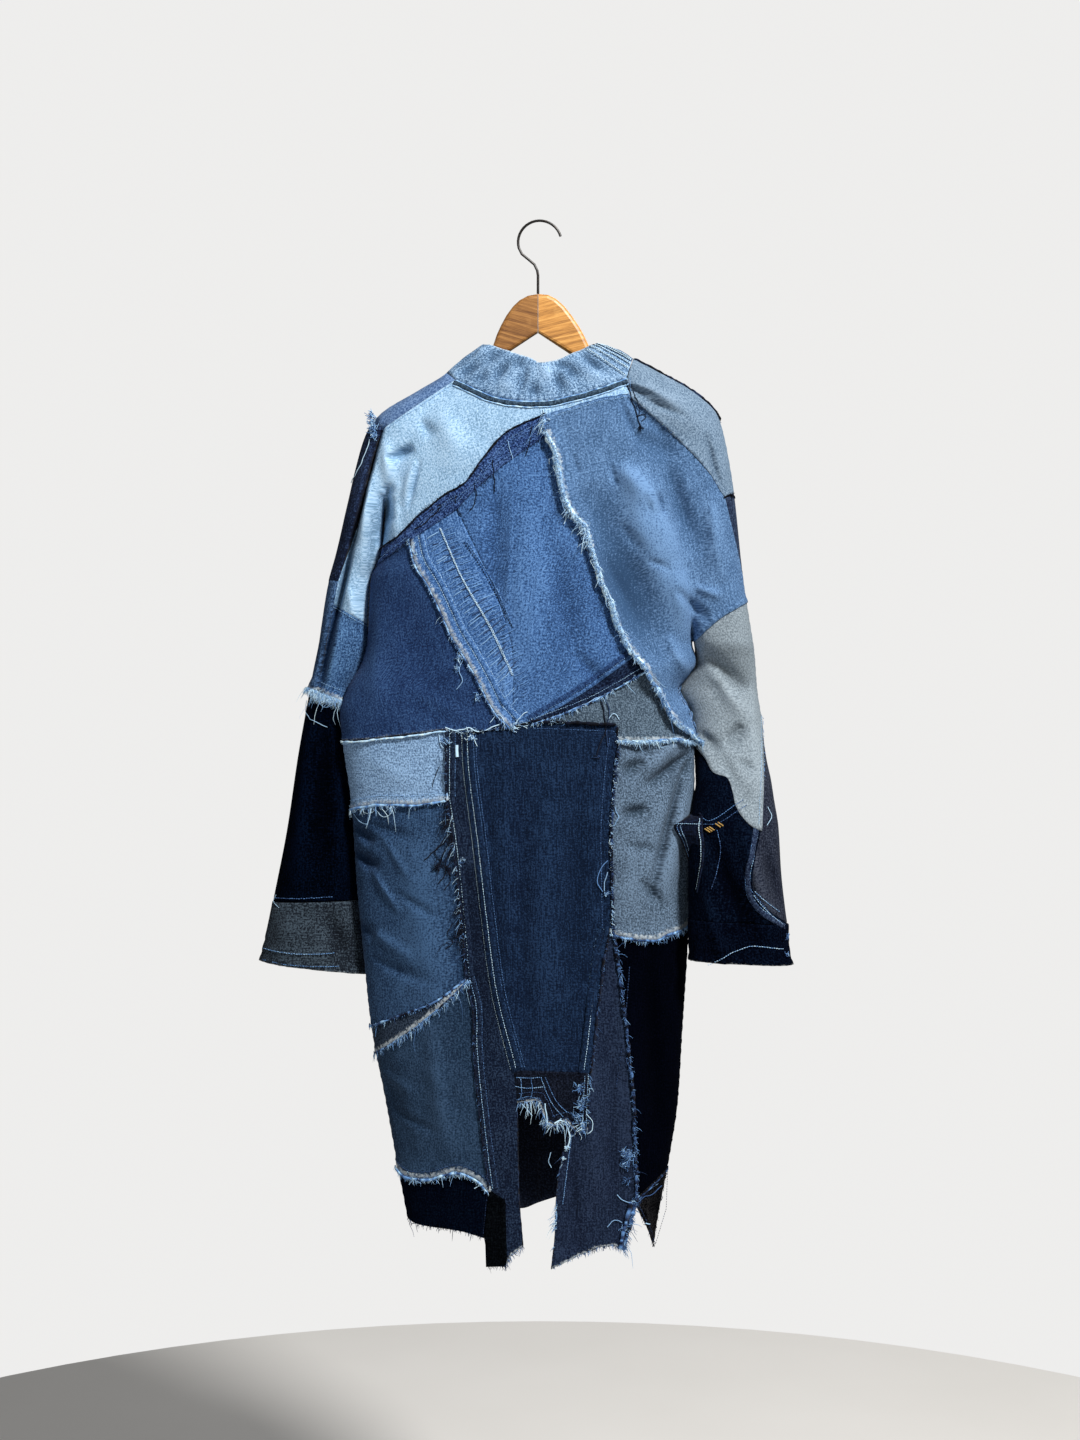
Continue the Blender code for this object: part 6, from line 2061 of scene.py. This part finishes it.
def collar_form():
    """Foot and top of the collar, the outward directions and the angles, round the neck."""
    foot = neck_seam()
    centre = np.interp(foot[:, 1], (0, foot[0, 1]), (NECK_CENTRE, LANDMARKS["NECK_FRONT"][0]))
    angle = np.degrees(np.arctan2((foot[:, 0] - centre) / NECK_WIDE, -foot[:, 1] / NECK_DEEP))
    angle[0], angle[-1] = -180, 180
    top = np.stack([through(COLLAR_TOP, k)(angle) for k in (1, 2, 3)], axis=-1)
    foot = foot + unit(top - foot) * COLLAR_LIFT
    for end, side in ((0, -1), (-1, 1)):
        foot[end, 0] += 1.5 * side
        top[end, 0] += 1.5 * side
    along = np.gradient(foot, axis=0) + np.gradient(top, axis=0)
    return foot, top, unit(np.cross(along, top - foot)), angle


def collar_relief(angle, share):
    """How far the collar stands out in its dents and lumps."""
    relief = 0.8 * noise(angle * 1.2, share * 36, 9, 31)
    for where, height, wide, tall, depth in COLLAR_DENTS:
        off = ((angle - where) / wide) ** 2 + ((share - height) / tall) ** 2
        relief = relief + depth * np.exp(-off)
    return relief


def collar_point(foot, top, out, angle, share):
    """Points of the collar at a share of its height, dents and all."""
    bow = COLLAR_SWELL * np.sin(math.pi * share) + collar_relief(angle, share)
    return foot * (1 - share) + top * share + out * bow[:, None]


def make_collar():
    """The collar's band and its stitched right piece, which lies over the band's end."""
    foot, top, out, angle = collar_form()
    split = int(np.argmax(angle > COLLAR_SPLIT))
    shares = np.linspace(1, 0, COLLAR_ROWS)
    for name, part in (("collar_band", slice(0, split + 1)), ("collar_right", slice(split, None))):
        f, t, o, a = (values[part] for values in (foot, top, out, angle))
        if name == "collar_right":
            f, t = f + o * COLLAR_LAP, t + o * COLLAR_LAP
        grid = np.array([collar_point(f, t, o, a, share) for share in shares])
        rows, columns = grid.shape[:2]
        points = grid.reshape(-1, 3)
        # The dents, doubled, for the denim to paint darker and the lumps paler: partly fading, partly
        # painted shade.
        dent_fade_and_shade = np.array([2.2 * collar_relief(a, share) for share in shares])
        length = arc_length(f)
        tall = np.linalg.norm(t - f, axis=1)
        along = np.tile(length, rows)
        up = (shares[:, None] * tall).ravel()
        down = ((1 - shares[:, None]) * tall).ravel()
        faces = grid_faces(rows, columns, False)
        piece = add_cloth(
            name + "_cloth", [CLOTHS[name], INSIDES[name]], points, faces,
            np.stack([along, up, 0 * up], axis=-1) * MM, COLLAR_WALL, raw=down + 1.6,
            sewn=np.minimum(up, down), along=along, stand=dent_fade_and_shade.ravel(),
        )
        declare(piece, name, (length[-1] * MM, tall.max() * MM), cloth_area(points * MM, faces))


# Corner of the right sleeve's pocket, standing off towards the body: height, left and right edge.
POCKET_CORNER = read_rows("""
#  z left right
-707 182 186
-711 174 189
-716 166 189
-722 156 189
-728 158 189
-742 166 190
-760 173 189
-777 177 186
-793 179 183
-800 180 182
""")


def make_pocket_corner(threads):
    """The loose corner of denim and the rows of stitches along its edges."""
    heights = np.linspace(POCKET_CORNER[0][0], POCKET_CORNER[-1][0], 31)
    low, high = (through(POCKET_CORNER, k)(heights) for k in (1, 2))
    shares = np.linspace(0, 1, 9)
    x = low[:, None] + (high - low)[:, None] * shares
    z = np.repeat(heights[:, None], len(shares), axis=1)
    near, far = on_cloth(body, low, heights, 3)[:, 1:2], on_cloth(right, high, heights, 5)[:, 1:2]
    y = near * (1 - shares) + far * shares - 0.8 - 0.8 * noise(x, z, 16, 71)
    grid = np.stack([x, y, z], axis=-1)
    points, faces = grid.reshape(-1, 3), grid_faces(*grid.shape[:2], False)
    inward = np.minimum(x - low[:, None], high[:, None] - x).ravel()
    piece = add_cloth(
        "pocket_corner", [CLOTHS["pocket_corner"], INSIDES["pocket_corner"]], points, faces,
        np.stack([points[:, 0], points[:, 2], 0 * inward], axis=-1) * MM,
        raw=FAR, sewn=inward + 1, along=-points[:, 2], stand=0,
    )
    wide = np.linalg.norm(grid[:, -1] - grid[:, 0], axis=1).max()
    tall = np.linalg.norm(grid[-1, -1] - grid[0, -1])
    sheet_of(piece, (wide * MM, tall * MM), cloth_area(points * MM, faces))
    outward = np.array((-0.45, -0.89, 0.0))
    rows = (
        # points, side, pitch, tones, seed, radius
        (grid[4:, 1], (-1, 0, 0), 2.6, (0.5, 0.8), 940, 0.38),
        (grid[4:, 2], (-1, 0, 0), 2.6, (0.7, 0.8), 941, 0.38),
        (grid[4, :], (0, 0, 1), 2.6, (0.7, 0.9), 944, 0.38),
        (grid[2:, 7], (1, 0, 0), 2.8, (0.86, 1.0), 945, 0.5),
    )
    for path, side, *sewing in rows:
        ones = np.ones((len(path), 1))
        stitch(threads, Line(path + outward * 0.5, outward * ones, side * ones), *sewing)


# Cloth tucked in under the left arm, between sleeve and body: height, left and right edge.
UNDERARM = read_rows("""
#  z left right
-326 -190 -182
-345 -194 -178
-400 -199 -184
-440 -211 -199
-500 -215 -203
""")
UNDERARM_BEHIND = 7   # how far it lies from the middle plane, towards the fronts, mm
UNDERARM_FLAT = (0.016, 0.185)       # its flat cut, m


def make_underarm_fold():
    """The tucked cloth, a plain strip behind the gap."""
    heights = np.linspace(UNDERARM[0][0], UNDERARM[-1][0], 30)
    low, high = (through(UNDERARM, k)(heights) for k in (1, 2))
    x = low[:, None] + (high - low)[:, None] * np.linspace(0, 1, 6)
    z = np.repeat(heights[:, None], 6, axis=1)
    y = UNDERARM_BEHIND + noise(x, z, 12, 73)
    points, faces = np.stack([x, y, z], axis=-1).reshape(-1, 3), grid_faces(30, 6, False)
    piece = add_cloth("underarm_fold", [INSIDES["yoke_left"]] * 2, points, faces,
                      points[:, [0, 2, 1]] * MM, raw=FAR, sewn=FAR, along=0, stand=0)
    sheet_of(piece, UNDERARM_FLAT, cloth_area(points * MM, faces))


COLLAR_STITCH_ANGLES = (47.0, 51.5, 56.0, 61.0, 66.5)    # of the rows up the right end


def stitch_collar(threads):
    """Rows of stitches up the collar's right end, each beside a dark cord that is painted shade of the
    furrow the stitches pull in.
    """
    foot, top, out, angle = collar_form()
    shares = np.linspace(0.04, 0.97, 18)
    for k, where in enumerate(COLLAR_STITCH_ANGLES):
        f, t, o = (np.stack([np.interp([where], angle, v[:, i]) for i in range(3)], -1)
                   for v in (foot, top, out))
        spots = np.concatenate([collar_point(f, t, o, np.array([where]), s) for s in shares])
        side = unit(np.cross(t - f, o))
        # Painted shade: a dark cord where the furrow beside the row would lie in shade.
        threads.add((spots + o * 0.5 + side * 1.2)[None], 0.7, 0.08)
        ones = np.ones((len(spots), 1))
        line = Line(spots + o * 1.7, o * ones, side * ones)
        stitch(threads, line, 2.4, (0.92, 1.0), COLLAR_SEED + k, 0.7)


def wood(name, tilt, dark, mid, pale):
    """Varnished hanger wood with its grain along the arm."""
    n = Nodes(name, 0.42, Coat_Weight=0.25, Coat_Roughness=0.3)
    turn = n.add("ShaderNodeMapping")
    n.feed(turn.inputs["Vector"], n.add("ShaderNodeTexCoord").outputs["Object"])
    turn.inputs["Rotation"].default_value = (0, math.radians(tilt), 0)
    grain = turn.outputs[0]
    bands = n.noise(n.scaled(grain, (7, 260, 260)), 1, 3, 0.6, 0.4)
    pores = n.noise(n.scaled(grain, (60, 1500, 1500)), 1, 2, 0.6)
    value = n.math("ADD", n.math("MULTIPLY", bands, 0.6), n.math("MULTIPLY", pores, 0.4))
    colour = n.ramp(value, (0.36, dark), (0.52, mid), (0.68, pale))
    worn = n.remap(n.noise(grain, 38, 3, 0.6), 0.56, 0.78, 0, 0.5)
    colour = n.mix(worn, colour, pale)
    return n.finish(colour, n.math("ADD", pores, n.math("MULTIPLY", bands, 0.5)), 0.12, 0.5)


def steel():
    """Dull dark wire of the hook, with a little rust."""
    n = Nodes("hook_wire", 0.42, Metallic=0.6)
    spot = n.add("ShaderNodeTexCoord").outputs["Object"]
    rust = n.remap(n.noise(spot, 240, 3, 0.6), 0.5, 0.72)
    colour = n.mix(rust, rgb(44, 43, 42), rgb(46, 35, 28))
    return n.finish(colour, n.noise(spot, 900, 2), 0.1, 0.4)


def add_light(name, place_at, size, power, colour):
    """A round lamp turned to the middle of the jacket."""
    lamp = bpy.data.lights.new(name, "AREA")
    lamp.shape = "DISK"
    lamp.size, lamp.energy, lamp.color = size, power, colour
    light = bpy.data.objects.new(name, lamp)
    light.location = place_at
    towards = Vector(MIDDLE) - light.location
    light.rotation_euler = towards.to_track_quat("-Z", "Y").to_euler()
    bpy.context.scene.collection.objects.link(light)


EYE = (-0.0012, -2.4, -0.5976)       # a little above the waist, 2.4 m off
FLOOR = -1.80                        # the jacket hangs from a hook 1.8 m up
FLOOR_RADIUS = 1.6
MIDDLE = (0, 0, -0.62)               # what the lights are turned to
ROOM = (0.93, 0.925, 0.915)
ROOM_LIGHT, ROOM_SEEN = 0.18, 0.92   # how bright the room shines, and how bright it looks
LIGHTS = [
    # name    place                 size power colour
    ("key", (1.75, -2.45, 2.2), 0.7, 262, (1.0, 0.985, 0.96)),
    ("fill", (-1.7, -1.7, -0.2), 1.6, 7, (0.94, 0.97, 1.0)),
    ("behind", (0.6, 2.2, 0.6), 1.8, 14, (1.0, 1.0, 1.0)),
]


def make_studio():
    """The camera, the lights, a pale room and its floor."""
    camera = bpy.data.cameras.new("camera")
    camera.lens, camera.sensor_width = 50, 36
    eye = bpy.data.objects.new("camera", camera)
    eye.location = EYE
    eye.rotation_euler = (math.radians(90), 0, 0)
    scene = bpy.context.scene
    scene.collection.objects.link(eye)
    scene.camera = eye
    scene.view_settings.view_transform = "Standard"
    for light in LIGHTS:
        add_light(*light)
    world = bpy.data.worlds.new("pale_room")
    scene.world = world
    world.use_nodes = True
    tree = world.node_tree
    shining, seen = tree.nodes["Background"], tree.nodes.new("ShaderNodeBackground")
    for background, strength in ((shining, ROOM_LIGHT), (seen, ROOM_SEEN)):
        background.inputs["Color"].default_value = (*ROOM, 1)
        background.inputs["Strength"].default_value = strength
    chosen = tree.nodes.new("ShaderNodeMixShader")
    ray = tree.nodes.new("ShaderNodeLightPath")
    tree.links.new(ray.outputs["Is Camera Ray"], chosen.inputs[0])
    tree.links.new(shining.outputs[0], chosen.inputs[1])
    tree.links.new(seen.outputs[0], chosen.inputs[2])
    tree.links.new(chosen.outputs[0], tree.nodes["World Output"].inputs["Surface"])
    mesh = bmesh.new()
    bmesh.ops.create_circle(mesh, cap_ends=True, segments=96, radius=FLOOR_RADIUS)
    data = bpy.data.meshes.new("floor")
    mesh.to_mesh(data)
    mesh.free()
    floor = bpy.data.objects.new("floor", data)
    floor.location = (0, 0, FLOOR)
    n = Nodes("pale_floor", 0.9)
    spot = n.add("ShaderNodeTexCoord").outputs["Object"]
    shade = n.mix(n.noise(spot, 3, 2), rgb(226, 224, 220), rgb(234, 232, 229))
    data.materials.append(n.finish(shade))
    scene.collection.objects.link(floor)


CLOTHS, INSIDES = make_cloths()
COTTON = cotton("cotton_yarn")
OCHRE = ochre("bartack_thread")
lay_seams()
make_trimmings()
for panel in PANELS:
    cut_panel(panel)
for ring in RINGS:
    sleeve_ring(ring)
make_collar()
make_underarm_fold()
# The same wood in two colourings: the left arm painted darker as painted shade, the right arm painted
# lighter as painted light from the key lamp's side.
for side, tilt, shades in (
    ("left", -15, (rgb(104, 64, 28), rgb(150, 102, 50), rgb(186, 134, 76))),
    ("right", 13, (rgb(150, 100, 46), rgb(204, 144, 72), rgb(236, 182, 104))),
):
    wood_with_painted_light = wood("hanger_wood_painted_light_" + side, tilt, *shades)
    bpy.data.objects["hanger_arm_" + side].material_slots[0].material = wood_with_painted_light
bpy.data.objects["hook"].material_slots[0].material = steel()
make_studio()
